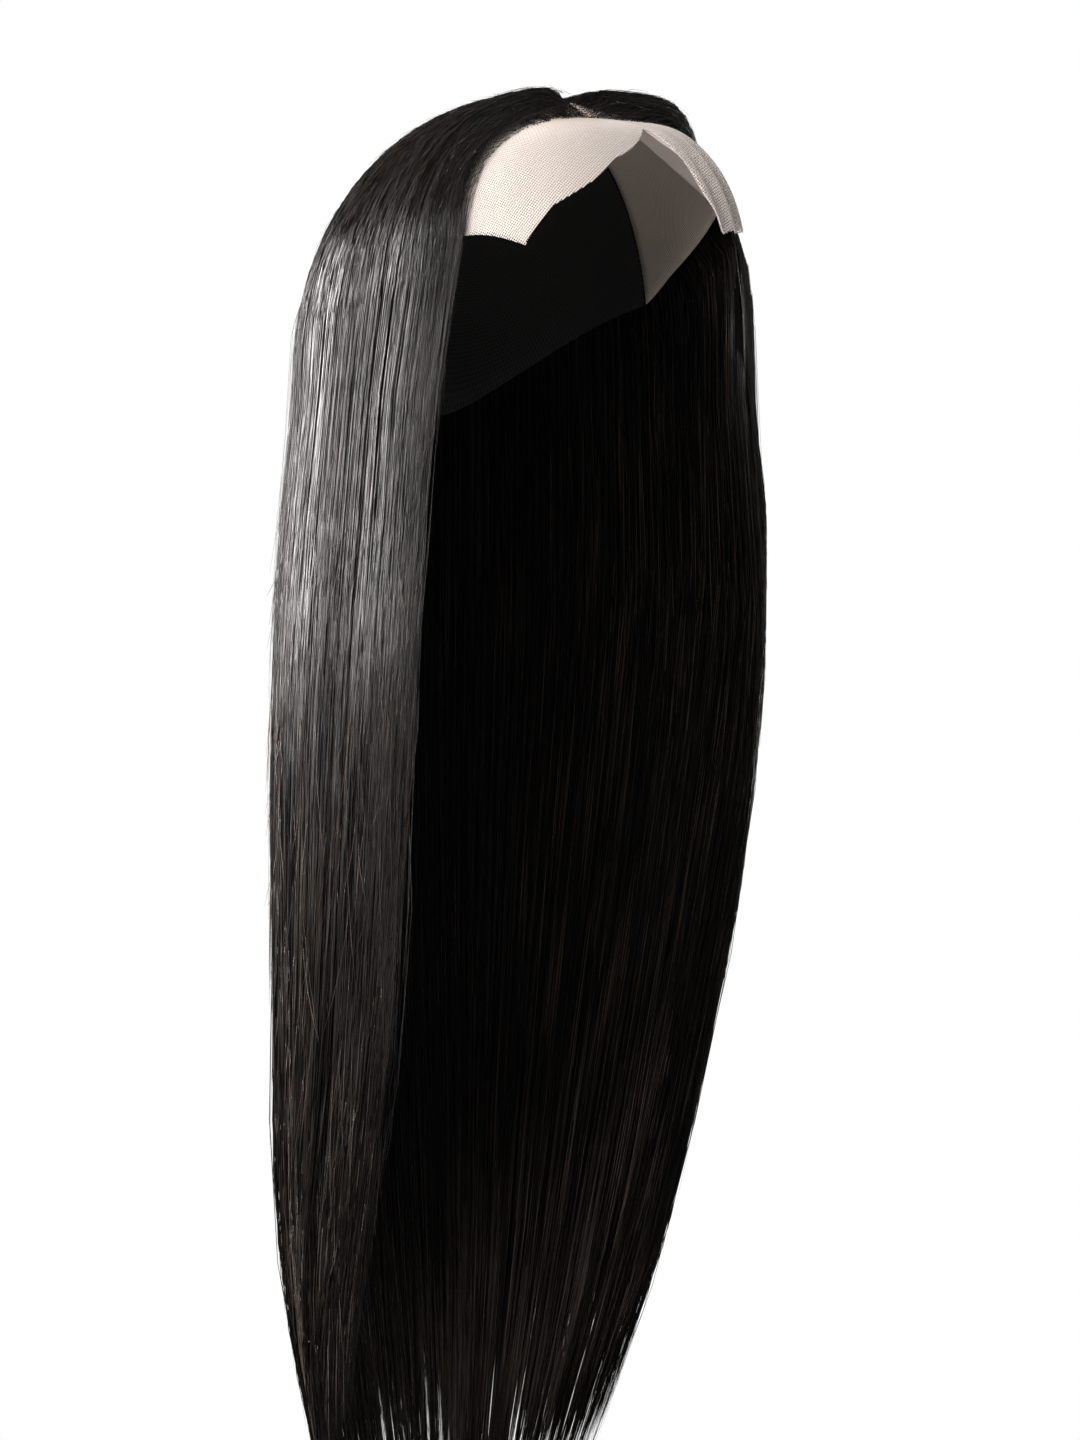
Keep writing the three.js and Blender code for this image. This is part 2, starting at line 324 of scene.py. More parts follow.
    def hair_point(self, share: Array, angle: Array, z: Array, depth: Array) -> Array:
        """Point inside the hair.

        Towards the front edges the hair thins: over the head it closes down on the lace, and where it hangs
        its inner side closes up to the outer one. Over the left temple it lies flatter.

        Args:
            share: -1 at the right front edge, 0 at the middle of the back, 1 at the left front edge.
            angle: degrees down the dome, 90 where the hair hangs.
            z: level where the hair hangs, else the level where hanging starts.
            depth: 0 on the underside, 1 on the topside.

        Returns:
            Points with x, y and z on the last axis.
        """
        share, angle, z, depth = np.broadcast_arrays(share, angle, z, depth)
        edge = self.edge_closing * smoothstep(np.abs(share), 0.88, 1.0)
        hanging = 0.6 * smoothstep(angle, 80.0, 90.0) + 0.4 * smoothstep(-z, 0.128, 0.17)
        temple = plateau(angle, *self.temple_dip_span)
        flat = 1 - self.left_dip * temple * smoothstep(share, 0.6, 0.85)
        share = self.set_back(share, angle, z)
        under = self.sheet_point(self.underside, share, angle, z, self.wall(share, z), self.front_inset)
        top = self.sheet_point(self.topside, share, angle, z, 0.0 * z, 0.0)
        lying, hung = depth * flat * (1 - edge), 1 - (1 - depth) * (1 - edge)
        return mix(under, top, mix(lying, hung, hanging)[..., None])

    def net_point(self, root: Array, share: Array, down: Array, sink: Array) -> Array:
        """Point of the lace or cap under the hair, lowered by a sink from the underside of the hair.

        Args:
            root: plan points on the parting.
            share: shares of the way round.
            down: degrees down the dome.
            sink: how far it is lowered.

        Returns:
            Points with x, y and z on the last axis.
        """
        level = np.full_like(share, self.hang_z)
        inset = self.wall(share, level) + sink
        rim = self.ring(self.share_angle(share, level), level, inset, self.front_inset + sink)
        return self.dome(self.underside, root, rim, share, down, sink)

    def lace_point(self, bearing: Array, down: Array, sink: Array) -> Array:
        """Point of the lace at a bearing from the middle of the forehead and an angle down the dome.

        Args:
            bearing: degrees from the middle of the forehead, negative on the right.
            down: degrees down the dome.
            sink: how far it lies under the underside of the hair.

        Returns:
            Points with x, y and z on the last axis.
        """
        around = (180 - np.abs(bearing)) / self.rim_edge
        share = np.where(bearing < 0, -around, around)
        root = self.root(np.clip(share, -1, 1), 0.0)
        return self.net_point(root, share, down, sink)

    def hem(self, share: Array) -> Array:
        """Level of the lower end of the hair, lowest at the middle of the back."""
        return self.hem_back_z + self.hem_front_rise * share**2

    def outward(self, points: Array) -> Array:
        """Rough outward direction of points of the hair: off the head's axis, and upwards over the dome.

        Args:
            points: points of the hair.

        Returns:
            Directions of any length.
        """
        away = points - np.array([0.0, self.axis_y, 0.0])
        away[..., 2] = np.where(points[..., 2] > self.upright_z, self.upward, 0.0)
        return away


@dataclass
class MeshArrays:
    """Points, faces and strand map of a mesh, as arrays."""

    points: Array
    quads: Array
    triangles: Array
    places: Array

    def make(self, name: str) -> bpy.types.Object:
        """Puts the arrays into a new smooth mesh object.

        Args:
            name: the object's name.

        Returns:
            The object, linked to the scene.
        """
        corners = np.concatenate([self.quads.ravel(), self.triangles.ravel()]).astype(np.int32)
        sizes = np.concatenate([np.full(len(self.quads), 4), np.full(len(self.triangles), 3)])
        starts = np.concatenate([[0], np.cumsum(sizes)[:-1]]).astype(np.int32)
        mesh = bpy.data.meshes.new(name)
        mesh.vertices.add(len(self.points))
        mesh.vertices.foreach_set("co", self.points.astype(np.float32).ravel())
        mesh.loops.add(len(corners))
        mesh.loops.foreach_set("vertex_index", corners)
        mesh.polygons.add(len(sizes))
        mesh.polygons.foreach_set("loop_start", starts)
        mesh.polygons.foreach_set("use_smooth", np.ones(len(sizes), dtype=bool))
        layer = mesh.uv_layers.new(name=STRAND_MAP)
        layer.data.foreach_set("uv", self.places[corners].astype(np.float32).ravel())
        mesh.update(calc_edges=True)
        piece = bpy.data.objects.new(name, mesh)
        bpy.context.scene.collection.objects.link(piece)
        return piece


def rings(paths: Array, radii: Array, normal: Array, across: Array, sides: int) -> Array:
    """Rings of points round paths: the path plus the radius times (cos a on the normal plus sin a across).

    Args:
        paths: points, by tube, station and axis.
        radii: radius, by tube and station.
        normal: unit direction off the path, by tube, station and axis.
        across: unit direction square to the path and the normal.
        sides: number of points in a ring.

    Returns:
        Points, by tube, station, side and axis.
    """
    turns = 2 * np.pi * np.arange(sides) / sides
    ring = np.cos(turns)[:, None] * normal[:, :, None, :] + np.sin(turns)[:, None] * across[:, :, None, :]
    return paths[:, :, None, :] + radii[:, :, None, None] * ring


def bands(near: Array, far: Array) -> Array:
    """Quads that join each ring of point numbers to the next one."""
    corners = [near, np.roll(near, -1, -1), np.roll(far, -1, -1), far]
    return np.stack(corners, axis=-1).reshape(-1, 4)


def tubes(paths: Array, radii: Array, outward: Array, tone: Array, sides: int = 3) -> MeshArrays:
    """Closed tubes along many paths at once.

    At each station a ring of points stands round the path. Quads join the rings, and a flat face closes
    each end. The map runs across by tone and along by the length from the root.

    Args:
        paths: points, by tube, station and axis.
        radii: radius, by tube and station.
        outward: rough outward direction, by tube, station and axis.
        tone: place of each tube across the strand map, from 0 to 1.
        sides: number of sides.

    Returns:
        The mesh arrays.
    """
    count, stations = paths.shape[:2]
    along = unit(np.gradient(paths, axis=1))
    normal = unit(outward - along * np.sum(outward * along, axis=-1, keepdims=True))
    across = np.cross(along, normal)
    points = rings(paths, radii, normal, across, sides)
    index = np.arange(count * stations * sides).reshape(count, stations, sides)
    quads = bands(index[:, :-1], index[:, 1:])
    first, last = index[:, 0, ::-1], index[:, -1, :]
    caps = np.concatenate([first, last]).reshape(-1, sides)
    u = tone[:, None, None] * 0.96 + 0.02 + 0.0004 * (np.arange(sides) / sides)
    steps = np.linalg.norm(np.diff(paths, axis=1), axis=-1)
    length = np.concatenate([np.zeros((count, 1)), np.cumsum(steps, axis=1)], axis=1)
    v = np.minimum(0.01 + length / STRAND_LENGTH, 0.99)[:, :, None]
    places = np.stack(np.broadcast_arrays(u, v + 0 * u), axis=-1).reshape(-1, 2)
    return MeshArrays(points.reshape(-1, 3), quads, caps, places)


def shell(outer: Array, inner: Array) -> MeshArrays:
    """Closed body between two sheets over the same grid, with walls along the free edges.

    Args:
        outer: points of the outer sheet, by column, row and axis, wound so that its faces look outwards.
        inner: points of the inner sheet.

    Returns:
        The mesh arrays. The map runs over the columns and rows of the grid.
    """
    columns, rows = outer.shape[:2]
    grid = np.arange(columns * rows).reshape(columns, rows)
    under = grid + columns * rows
    a, b, c, d = grid[:-1, :-1], grid[1:, :-1], grid[1:, 1:], grid[:-1, 1:]
    skin = np.stack([a, b, c, d], axis=-1).reshape(-1, 4)
    lining = skin[:, ::-1] + columns * rows
    rim = np.concatenate([grid[:, 0], grid[-1, 1:], grid[-2::-1, -1], grid[0, -2:0:-1]])
    low = np.concatenate([under[:, 0], under[-1, 1:], under[-2::-1, -1], under[0, -2:0:-1]])
    wall = np.stack([np.roll(rim, -1), rim, low, np.roll(low, -1)], axis=-1)
    u, v = np.meshgrid(np.linspace(0, 1, columns), np.linspace(0, 1, rows), indexing="ij")
    places = np.stack([u, v], axis=-1).reshape(-1, 2)
    points = np.concatenate([outer.reshape(-1, 3), inner.reshape(-1, 3)])
    quads = np.concatenate([skin, lining, wall])
    return MeshArrays(points, quads, np.zeros((0, 3), dtype=int), np.concatenate([places, places]))


class Socket:
    """A shader socket that takes part in Python expressions, each of which adds a Math node."""

    def __init__(self, graph: "Graph", link: bpy.types.NodeSocket) -> None:
        """Wraps an output socket of a graph's node."""
        self.graph = graph
        self.link = link

    def math(self, operation: str, left: Value, right: Value) -> "Socket":
        """Adds a Math node of two values."""
        return self.graph.node("ShaderNodeMath", {"operation": operation}, {0: left, 1: right})

    def __add__(self, other: Value) -> "Socket":
        """Sum."""
        return self.math("ADD", self, other)

    __radd__ = __add__

    def __sub__(self, other: Value) -> "Socket":
        """Difference."""
        return self.math("SUBTRACT", self, other)

    def __rsub__(self, other: Value) -> "Socket":
        """Difference from a number."""
        return self.math("SUBTRACT", other, self)

    def __mul__(self, other: Value) -> "Socket":
        """Product."""
        return self.math("MULTIPLY", self, other)

    __rmul__ = __mul__


class Graph:
    """Node graph of one material or surround, with its shader and output."""

    def __init__(self, owner: bpy.types.ID, shader: str, output: str) -> None:
        """Starts the owner's graph with a bare shader and output.

        Args:
            owner: the material or surround.
            shader: type of its shader node.
            output: type of its output node.
        """
        owner.use_nodes = True
        self.owner = owner
        self.tree = owner.node_tree
        self.tree.nodes.clear()
        self.shader = self.tree.nodes.new(shader)
        end = self.tree.nodes.new(output)
        self.tree.links.new(self.shader.outputs[0], end.inputs["Surface"])

    @classmethod
    def of_material(cls, name: str) -> "Graph":
        """Starts a new material."""
        material = bpy.data.materials.new(name)
        return cls(material, "ShaderNodeBsdfPrincipled", "ShaderNodeOutputMaterial")

    @classmethod
    def of_surround(cls, name: str) -> "Graph":
        """Starts a new surround."""
        return cls(bpy.data.worlds.new(name), "ShaderNodeBackground", "ShaderNodeOutputWorld")

    def put(self, node: bpy.types.Node, inputs: dict) -> None:
        """Sets or links the inputs of a node."""
        for key, value in inputs.items():
            if isinstance(value, Socket):
                self.tree.links.new(value.link, node.inputs[key])
            else:
                node.inputs[key].default_value = value

    def node(self, kind: str, settings: dict, inputs: dict, output: Union[int, str] = 0) -> Socket:
        """Adds a node of any kind.

        Args:
            kind: the node's type.
            settings: attributes of the node, set first. "stops" gives a ramp's places and colours.
            inputs: values or sockets by the name or number of the node's inputs.
            output: which output to return.

        Returns:
            The output socket.
        """
        made = self.tree.nodes.new(kind)
        for key, value in settings.items():
            if key == "stops":
                ramp = made.color_ramp.elements
                while len(ramp) < len(value):
                    ramp.new(0.5)
                for stop, (place, colour) in zip(ramp, value):
                    stop.position = place
                    stop.color = (*colour, 1.0)
            else:
                setattr(made, key, value)
        self.put(made, inputs)
        return Socket(self, made.outputs[output])

    def noise(self, place: Socket, scale: Sequence[float], detail: float, roughness: float = 0.5) -> Socket:
        """Noise over a map, finer where the scale across or along is greater.

        Args:
            place: the map.
            scale: scales across and along.
            detail: octaves of the noise.
            roughness: weight of each octave against the one before.

        Returns:
            The noise, from 0 to 1.
        """
        spot = self.node("ShaderNodeMapping", {}, {"Vector": place, "Scale": (*scale, 1.0)})
        values = {"Vector": spot, "Scale": 1.0, "Detail": detail, "Roughness": roughness}
        return self.node("ShaderNodeTexNoise", {"noise_dimensions": "2D"}, values)

    def ramp(self, factor: Socket, *stops: tuple[float, Colour]) -> Socket:
        """Colour ramp through stops, each a place and a colour."""
        return self.node("ShaderNodeValToRGB", {"stops": stops}, {"Fac": factor})

    def spread(self, value: Socket, source: Sequence[Value], target: Sequence[Value] = (0.0, 1.0)) -> Socket:
        """Value carried from one range to another and held at its ends."""
        ends = zip(("From Min", "From Max", "To Min", "To Max"), (*source, *target))
        return self.node("ShaderNodeMapRange", {}, {"Value": value, **dict(ends)})

    def relief(self, height: Socket, strength: float, distance: float) -> Socket:
        """Normal of a relief with a height."""
        values = {"Height": height, "Strength": strength, "Distance": distance}
        return self.node("ShaderNodeBump", {}, values)

    def near_hairline(self, along: Socket) -> Socket:
        """Weight of the tone of lace that is knotted with roots, from 0.85 at the hairline down to 0."""
        return self.spread(along, (0.10, 0.42), (0.85, 0.0))

    def blend(self, factor: Value, first: Any, second: Any) -> Socket:
        """Colour blend of two colours or sockets."""
        ends = [end if isinstance(end, Socket) else (*end, 1.0) for end in (first, second)]
        return self.node("ShaderNodeMix", {"data_type": "RGBA"}, {0: factor, 6: ends[0], 7: ends[1]}, 2)

    def map_place(self) -> tuple[Socket, Socket, Socket]:
        """The piece's own map: the whole vector, its place across and its place along.

        Returns:
            The three sockets.
        """
        place = self.node("ShaderNodeUVMap", {"uv_map": STRAND_MAP}, {})
        split = self.node("ShaderNodeSeparateXYZ", {}, {0: place})
        along = Socket(self, split.link.node.outputs[1])
        return place, split, along

    def finish(self, inputs: dict) -> Any:
        """Sets the shader's own sockets and returns the material or surround."""
        self.put(self.shader, inputs)
        return self.owner


@dataclass(frozen=True)
class StrandFinish:
    """Satin near-black hair: strands differ in tone and roughness, and their gloss is broken along them."""

    name: str = "hair strands"
    dark: Colour = (0.0018, 0.0016, 0.0015)
    middle: Colour = (0.0052, 0.0043, 0.0038)
    warm: Colour = (0.033, 0.024, 0.018)
    tone_scale: tuple[float, float] = (700.0, 8.0)
    gloss_scale: tuple[float, float] = (900.0, 60.0)
    lock_scale: tuple[float, float] = (70.0, 2.0)
    rough_scale: tuple[float, float] = (330.0, 12.0)
    smooth: float = 0.14
    rough: float = 0.39
    tone_stops: tuple[float, float, float] = (0.38, 0.56, 0.76)
    rough_span: tuple[float, float] = (0.36, 0.64)
    gloss_span: tuple[float, float] = (0.46, 0.56)
    gloss_weights: tuple[float, float, float] = (0.45, 0.37, 0.18)
    ior: float = 1.45
    coat_rough: float = 0.20
    coat_ior: float = 1.7

    def make(self) -> bpy.types.Material:
        """Builds the material from the strand map, which runs across the fall and along the hair.

        Noises drawn out along the hair drive the tone, the roughness and the breaks of the gloss.

        Returns:
            The material.
        """
        graph = Graph.of_material(self.name)
        place, _, _ = graph.map_place()
        scales = (self.tone_scale, self.lock_scale, self.rough_scale, self.gloss_scale)
        tone, lock, coarse, fine = (graph.noise(place, scale, 1.0, 0.6) for scale in scales)
        by_fine, by_coarse, by_lock = self.gloss_weights
        broken = fine * by_fine + coarse * by_coarse + lock * by_lock
        return graph.finish(
            {
                "Base Color": graph.ramp(tone, *zip(self.tone_stops, (self.dark, self.middle, self.warm))),
                "Roughness": graph.spread(coarse, self.rough_span, (self.smooth, self.rough)),
                "IOR": self.ior,
                "Coat Weight": graph.spread(broken, self.gloss_span),
                "Coat Roughness": self.coat_rough,
                "Coat IOR": self.coat_ior,
            }
        )


@dataclass(frozen=True)
class BedFinish:
    """Mass of hair under the strands: nearly black, grooved along its length, and thinned out at its ends."""

    name: str = "hair bed"
    low: Colour = (0.0010, 0.0009, 0.0009)
    high: Colour = (0.0040, 0.0034, 0.0030)
    across: float = 260.0
    along: float = 5.0
    rough: float = 0.55
    rough_range: float = 0.2
    groove_strength: float = 0.8
    groove_depth: float = 0.0008
    ior: float = 1.3
    wisps: float = 75.0
    thin_from: float = 0.875
    cover_ends: tuple[float, float] = (2.0, -0.35)
    wisp_weight: float = 1.8
    streak_weight: float = 1.2
    mean_break: float = 1.5

    def make(self) -> bpy.types.Material:
        """Builds the material.

        A noise drawn out along the hair drives its colour, gloss and grooves. Near the ends the cover falls
        with the way down, and a broader noise breaks it into wisps.

        Returns:
            The material.
        """
        graph = Graph.of_material(self.name)
        place, _, down = graph.map_place()
        streak = graph.noise(place, (self.across, self.along), 3.0, 0.6)
        wisp = graph.noise(place, (self.wisps, self.along), 1.0)
        left = graph.spread(down, (self.thin_from, 1.0), self.cover_ends)
        broken = wisp * self.wisp_weight + streak * self.streak_weight - self.mean_break
        return graph.finish(
            {
                "Base Color": graph.ramp(streak, (0.35, self.low), (0.7, self.high)),
                "Roughness": streak * self.rough_range + self.rough,
                "Normal": graph.relief(streak, self.groove_strength, self.groove_depth),
                "IOR": self.ior,
                "Alpha": graph.spread(left + broken, (0.0, 1.0)),
            }
        )


@dataclass(frozen=True)
class LaceFinish:
    """Matte beige thread, a little uneven in tone."""

    name: str = "lace thread"
    pale: Colour = (0.87, 0.81, 0.765)
    deep: Colour = (0.79, 0.72, 0.665)
    rooted: Colour = (0.57, 0.48, 0.41)
    rough: float = 0.75
    rough_range: float = 0.2
    slub: float = 60.0
    sheen: float = 0.25

    def make(self) -> bpy.types.Material:
        """Builds the material: tone across the map and a fine slub along the thread.

        Returns:
            The material.
        """
        graph = Graph.of_material(self.name)
        place, _, along = graph.map_place()
        slub = graph.noise(place, (self.slub, self.slub), 2.0)
        colour = graph.blend(slub, self.pale, self.deep)
        colour = graph.blend(graph.near_hairline(along), colour, self.rooted)
        rough = slub * self.rough_range + self.rough
        return graph.finish({"Base Color": colour, "Roughness": rough, "Sheen Weight": self.sheen})


@dataclass(frozen=True)
class FilmFinish:
    """Beige film that lets half of the light through."""

    name: str = "lace film"
    pale: Colour = (0.80, 0.72, 0.665)
    deep: Colour = (0.70, 0.625, 0.56)
    rooted: Colour = (0.49, 0.41, 0.35)
    rough: float = 0.85
    cover: float = 0.55
    cloud: float = 14.0

    def make(self) -> bpy.types.Material:
        """Builds the material: a cloudy tone over the map.

        Returns:
            The material.
        """
        graph = Graph.of_material(self.name)
        place, _, along = graph.map_place()
        cloud = graph.noise(place, (self.cloud, self.cloud), 3.0)
        colour = graph.blend(cloud, self.pale, self.deep)
        colour = graph.blend(graph.near_hairline(along), colour, self.rooted)
        return graph.finish({"Base Color": colour, "Roughness": self.rough, "Alpha": self.cover})


@dataclass(frozen=True)
class NetFinish:
    """Woven net shown by its colour and relief, for pieces that are seen only from below."""

    name: str
    thread: Colour
    hole: Colour
    across: float
    along: float
    rough: float = 0.9
    rough_range: float = 0.15
    relief_strength: float = 0.7
    relief_depth: float = 0.0004

    def make(self) -> bpy.types.Material:
        """Builds the material: two crossing waves over the map, thread where either is high.

        Returns:
            The material.
        """
        graph = Graph.of_material(self.name)
        _, u, v = graph.map_place()
        rising, falling = u * self.across + v * self.along, u * self.across - v * self.along
        first, second = (
            graph.node("ShaderNodeMath", {"operation": "SINE"}, {0: slope}) for slope in (rising, falling)
        )
        height = first.math("MAXIMUM", first, second) * 0.5 + 0.5
        return graph.finish(
            {
                "Base Color": graph.ramp(height, (0.35, self.hole), (0.75, self.thread)),
                "Roughness": self.rough - height * self.rough_range,
                "Normal": graph.relief(height, self.relief_strength, self.relief_depth),
            }
        )


@dataclass(frozen=True)
class KnotFinish:
    """Tied roots of hair, dark brown and dull."""

    name: str = "hair knots"
    dark: Colour = (0.02, 0.015, 0.012)
    brown: Colour = (0.05, 0.036, 0.028)

    def make(self) -> bpy.types.Material:
        """Builds the material: a tone of its own for each knot.

        Returns:
            The material.
        """
        graph = Graph.of_material(self.name)
        _, tone, _ = graph.map_place()
        colour = graph.blend(tone, self.dark, self.brown)
        return graph.finish({"Base Color": colour, "Roughness": 0.6})


class Fall(Enum):
    """The three falls of hair, by the frame's nodes."""

    RIGHT = "hair_right"
    BACK = "hair_back"
    LEFT = "hair_left"


class Lie(Enum):
    """Strands that take root on the parting and lie outside, and those that lie under them.

    The values are the stations of a strand over the head, as shares of its way from root to rim.
    """

    OUTER = (0.0, 0.04, 0.10, 0.19, 0.31, 0.44, 0.57, 0.69, 0.80, 0.90)
    UNDER = (0.0, 0.3, 0.6, 0.85)


@dataclass(frozen=True)
class BedShape:
    """Shape of the dark bed under the strands of a fall, as depths in the hair and shares of the way."""

    depth: float = 0.84
    inside: float = 0.1
    middle: float = 0.35
    root_depth: float = 0.25
    groove: float = 0.22
    edge_drop: float = 0.45
    end_taper: float = 0.4
    stray_end: float = 0.015
    front: float = 0.985
    dome_inset: float = 0.03
    parting_inset: float = 0.13
    lock_columns: int = 5
    levels: int = 24
    angles: tuple[float, ...] = (0.0, 3.0, 7.0, 13.0, 21.0, 30.0, 40.0, 50.0, 60.0, 70.0, 80.0, 90.0)


@dataclass(frozen=True)
class StrandShape:
    """Shape of the strands of a fall, as shares of their way, depths in the hair and lengths."""

    radius: float = 0.00025
    hang: tuple[float, ...] = (0.0, 0.16, 0.34, 0.52, 0.69, 0.85, 1.0)
    over_head: float = 0.28
    lock_wisps: int = 5
    thin_width: float = 0.085
    thin_reach: float = 0.014
    lower_share: float = 0.64
    below_hem: float = 0.038
    wisp_drop: float = 0.02
    tip_spread: float = 0.016
    short_share: float = 0.2
    shorter: float = 0.12
    sway: float = 0.0022
    edge: float = 1.004
    edge_slack: float = 0.021
    wander: float = 0.025
    stand: float = 0.3
    front_span: tuple[float, float] = (0.8, 0.97)
    bare_angle: float = 8.0
    bare_from: float = 0.85
    parting_band: float = 1.2
    hairline_band: float = 20.0
    crown_roots: tuple[float, float] = (10.0, 50.0)
    nape_roots: tuple[float, float] = (52.0, 82.0)
    lock_gap: float = 0.12
    front_gap: float = 0.2
    depth_spread: float = 0.05
    wisp_level: float = 0.028
    front_level: float = 0.05
    wisp_round: float = 0.12
    least_depth: float = 0.5
    lower_by: float = 0.16
    inner_depth: float = 0.12


@dataclass
class HairFall:
    """One fall of hair: a dark bed and the strands that cover it."""

    form: HairForm
    fall: Fall
    first: float
    last: float
    locks: int
    outer: int
    under: int
    seed: int
    bed_rise: float
    bed_notch: float
    gathering: float
    merging: float
    shape: BedShape = BedShape()
    strand: StrandShape = StrandShape()

    def gathers(self) -> tuple[Array, Array]:
        """Shares at which strands gather: thin wisps, and the locks that wisps run into.

        Returns:
            Shares of the wisps and of the locks, in order.
        """
        random = np.random.default_rng(self.seed + 5)
        count = self.strand.lock_wisps * self.locks
        wisps = (np.arange(count) + random.uniform(0.1, 0.9, count)) / count
        locks = (np.arange(self.locks) + random.uniform(0, 1, self.locks)) / self.locks
        return mix(self.first, self.last, wisps), mix(self.first, self.last, locks)

    @staticmethod
    def nearest(places: Array, share: Array) -> Array:
        """Number of the nearest of some ordered places to each share."""
        return np.searchsorted((places[1:] + places[:-1]) / 2, share)

    def crest(self, share: Array) -> tuple[Array, Array]:
        """Number of the lock at a share, and 1 in its middle down to 0 between two locks.

        Args:
            share: shares of the way round.

        Returns:
            Numbers and heights.
        """
        _, locks = self.gathers()
        bounds = np.concatenate([[self.first], (locks[1:] + locks[:-1]) / 2, [self.last]])
        number = np.clip(np.searchsorted(bounds, share) - 1, 0, self.locks - 1)
        half = (bounds[number + 1] - bounds[number]) / 2
        return number, np.clip(1 - np.abs(share - bounds[number] - half) / half, 0, 1)

    def bed(self) -> bpy.types.Object:
        """Builds the bed: two sheets inside the hair, with a crest for each lock and a ragged hem.

        Returns:
            The bed's object.
        """
        shape = self.shape
        random = np.random.default_rng(self.seed)
        share = np.linspace(self.first, self.last, self.locks * shape.lock_columns + 1)
        number, crest = self.crest(share)
        stray = random.uniform(-1, 1, self.locks)[number]
        tip = self.form.hem(share) + self.bed_rise - self.bed_notch * crest + shape.stray_end * stray
        hang = np.linspace(0, 1, shape.levels)[1:]
        angle = np.append(shape.angles, np.full(len(hang), 90.0))[None, :]
        down = np.append(np.zeros(len(shape.angles)), hang)[None, :]
        z = mix(self.form.hang_z, tip[:, None], down)
        on_dome, by_parting = 1 - smoothstep(angle, 60.0, 90.0), 1 - smoothstep(angle, 2.0, 20.0)
        front = shape.front - shape.dome_inset * on_dome - shape.parting_inset * by_parting
        inside = np.sign(share)[:, None] * np.minimum(np.abs(share)[:, None], front)
        grown = smoothstep(angle + 120 * down, 10, 170)
        groove = 1 - shape.groove * (1 - crest[:, None]) ** 2 * grown
        lower = 1 - shape.edge_drop * smoothstep(np.abs(share), 0.76, 0.94)[:, None]
        rise = mix(shape.root_depth, 1.0, smoothstep(angle, 0.0, 5.0))
        depth = shape.depth * groove * lower * rise
        taper = 1 - shape.end_taper * smoothstep(down, 0.68, 1.0)
        outer = self.form.hair_point(inside, angle, z, mix(shape.middle, depth, taper))
        inner = self.form.hair_point(inside, angle, z, mix(shape.inside, shape.middle, 1 - taper))
        return shell(outer, inner).make(f"{self.fall.value}_bed")

    def thinned(self, share: Array) -> Array:
        """Shares moved near the front edges by a cube root, so that hair is sparse along the hairline.

        Args:
            share: shares of the way round.

        Returns:
            The moved shares.
        """
        width, reach = self.strand.thin_width, self.strand.thin_reach
        near = np.clip((1 - np.abs(share)) / width, 0, 1)
        moved = 1 + reach - (width + reach) * np.cbrt(near)
        return np.where(near < 1, np.sign(share) * moved, share)

    def paths(self, count: int, lie: Lie, random: np.random.Generator) -> tuple[Array, Array, Array]:
        """Paths of many strands.

        A strand takes root on the parting or lower on the dome, rises to its depth in the hair, follows
        the flow lines, is drawn into its wisp, and runs into a lock as it nears its tip.

        Args:
            count: number of strands.
            lie: whether they lie outside or under.
            random: source of the strands' own values.

        Returns:
            Points by strand, station and axis, radii by strand and station, and places across the fall.
        """
        shape = self.strand
        spread = (np.arange(count) + random.uniform(0, 1, count)) / count
        share = mix(self.first, self.last, spread)
        width = (self.last - self.first) / self.locks
        wisps, locks = self.gathers()
        wisp = self.nearest(wisps, share + random.normal(0, 0.1, count) * width)
        own = np.random.default_rng(self.seed + 9)
        drop, stand, level, pull, aim = own.normal(0, 1, (5, len(wisps)))[:, wisp]
        middle = wisps[wisp]
        lock = locks[self.nearest(locks, middle + 0.25 * aim * width)]
        lower = (random.uniform(0, 1, count) < shape.lower_share) & (lie is Lie.UNDER)
        start = self.starts(share, lower, lie, random)
        depth = self.depths(share, middle, level, lower, lie, random)
        tip = self.tips(share, drop, random)
        uneven = random.uniform(0.78, 1.28, (count, 1))
        dome, hang = np.array(lie.value) ** uneven, np.array(shape.hang) ** uneven
        angle = np.concatenate([mix(start[:, None], 90.0, dome), np.full_like(hang, 90.0)], axis=1)
        top = np.full_like(dome, self.form.hang_z)
        z = np.concatenate([top, mix(self.form.hang_z, tip[:, None], hang)], axis=1)
        travel = np.concatenate([shape.over_head * dome, mix(shape.over_head, 1.0, hang)], axis=1)
        flow = self.flow(share, middle, lock, pull, travel, random)
        deep = self.climb(start, depth, stand, lower, angle, travel, random)
        points = self.form.hair_point(flow, angle, z, deep)
        front = smoothstep(np.abs(share), *shape.front_span)[:, None]
        taper = np.minimum(1, 0.4 + 4 * travel) * (1 - 0.8 * smoothstep(travel, 0.84, 1.0))
        radii = shape.radius * random.uniform(0.7, 1.25, (count, 1)) * taper * (1 - 0.35 * front)
        place = mix(share, middle, 0.6)
        return points, radii, (place - self.first) / (self.last - self.first)

    def tips(self, share: Array, drop: Array, random: np.random.Generator) -> Array:
        """Levels of the tips: near the hem, each wisp with a drop of its own, and some strands shorter.

        Args:
            share: shares of the strands.
            drop: the wisps' own drops, with a spread of 1.
            random: source of the strands' own values.

        Returns:
            Levels.
        """
        count, shape = len(share), self.strand
        short = random.uniform(0, 1, count) < shape.short_share
        near = self.form.hem(share) - shape.below_hem + shape.wisp_drop * drop
        tip = near + np.abs(random.normal(0, shape.tip_spread, count))
        shorter = np.where(short, random.uniform(0, shape.shorter, count), 0)
        return np.maximum(tip + shorter, self.form.lowest_z)

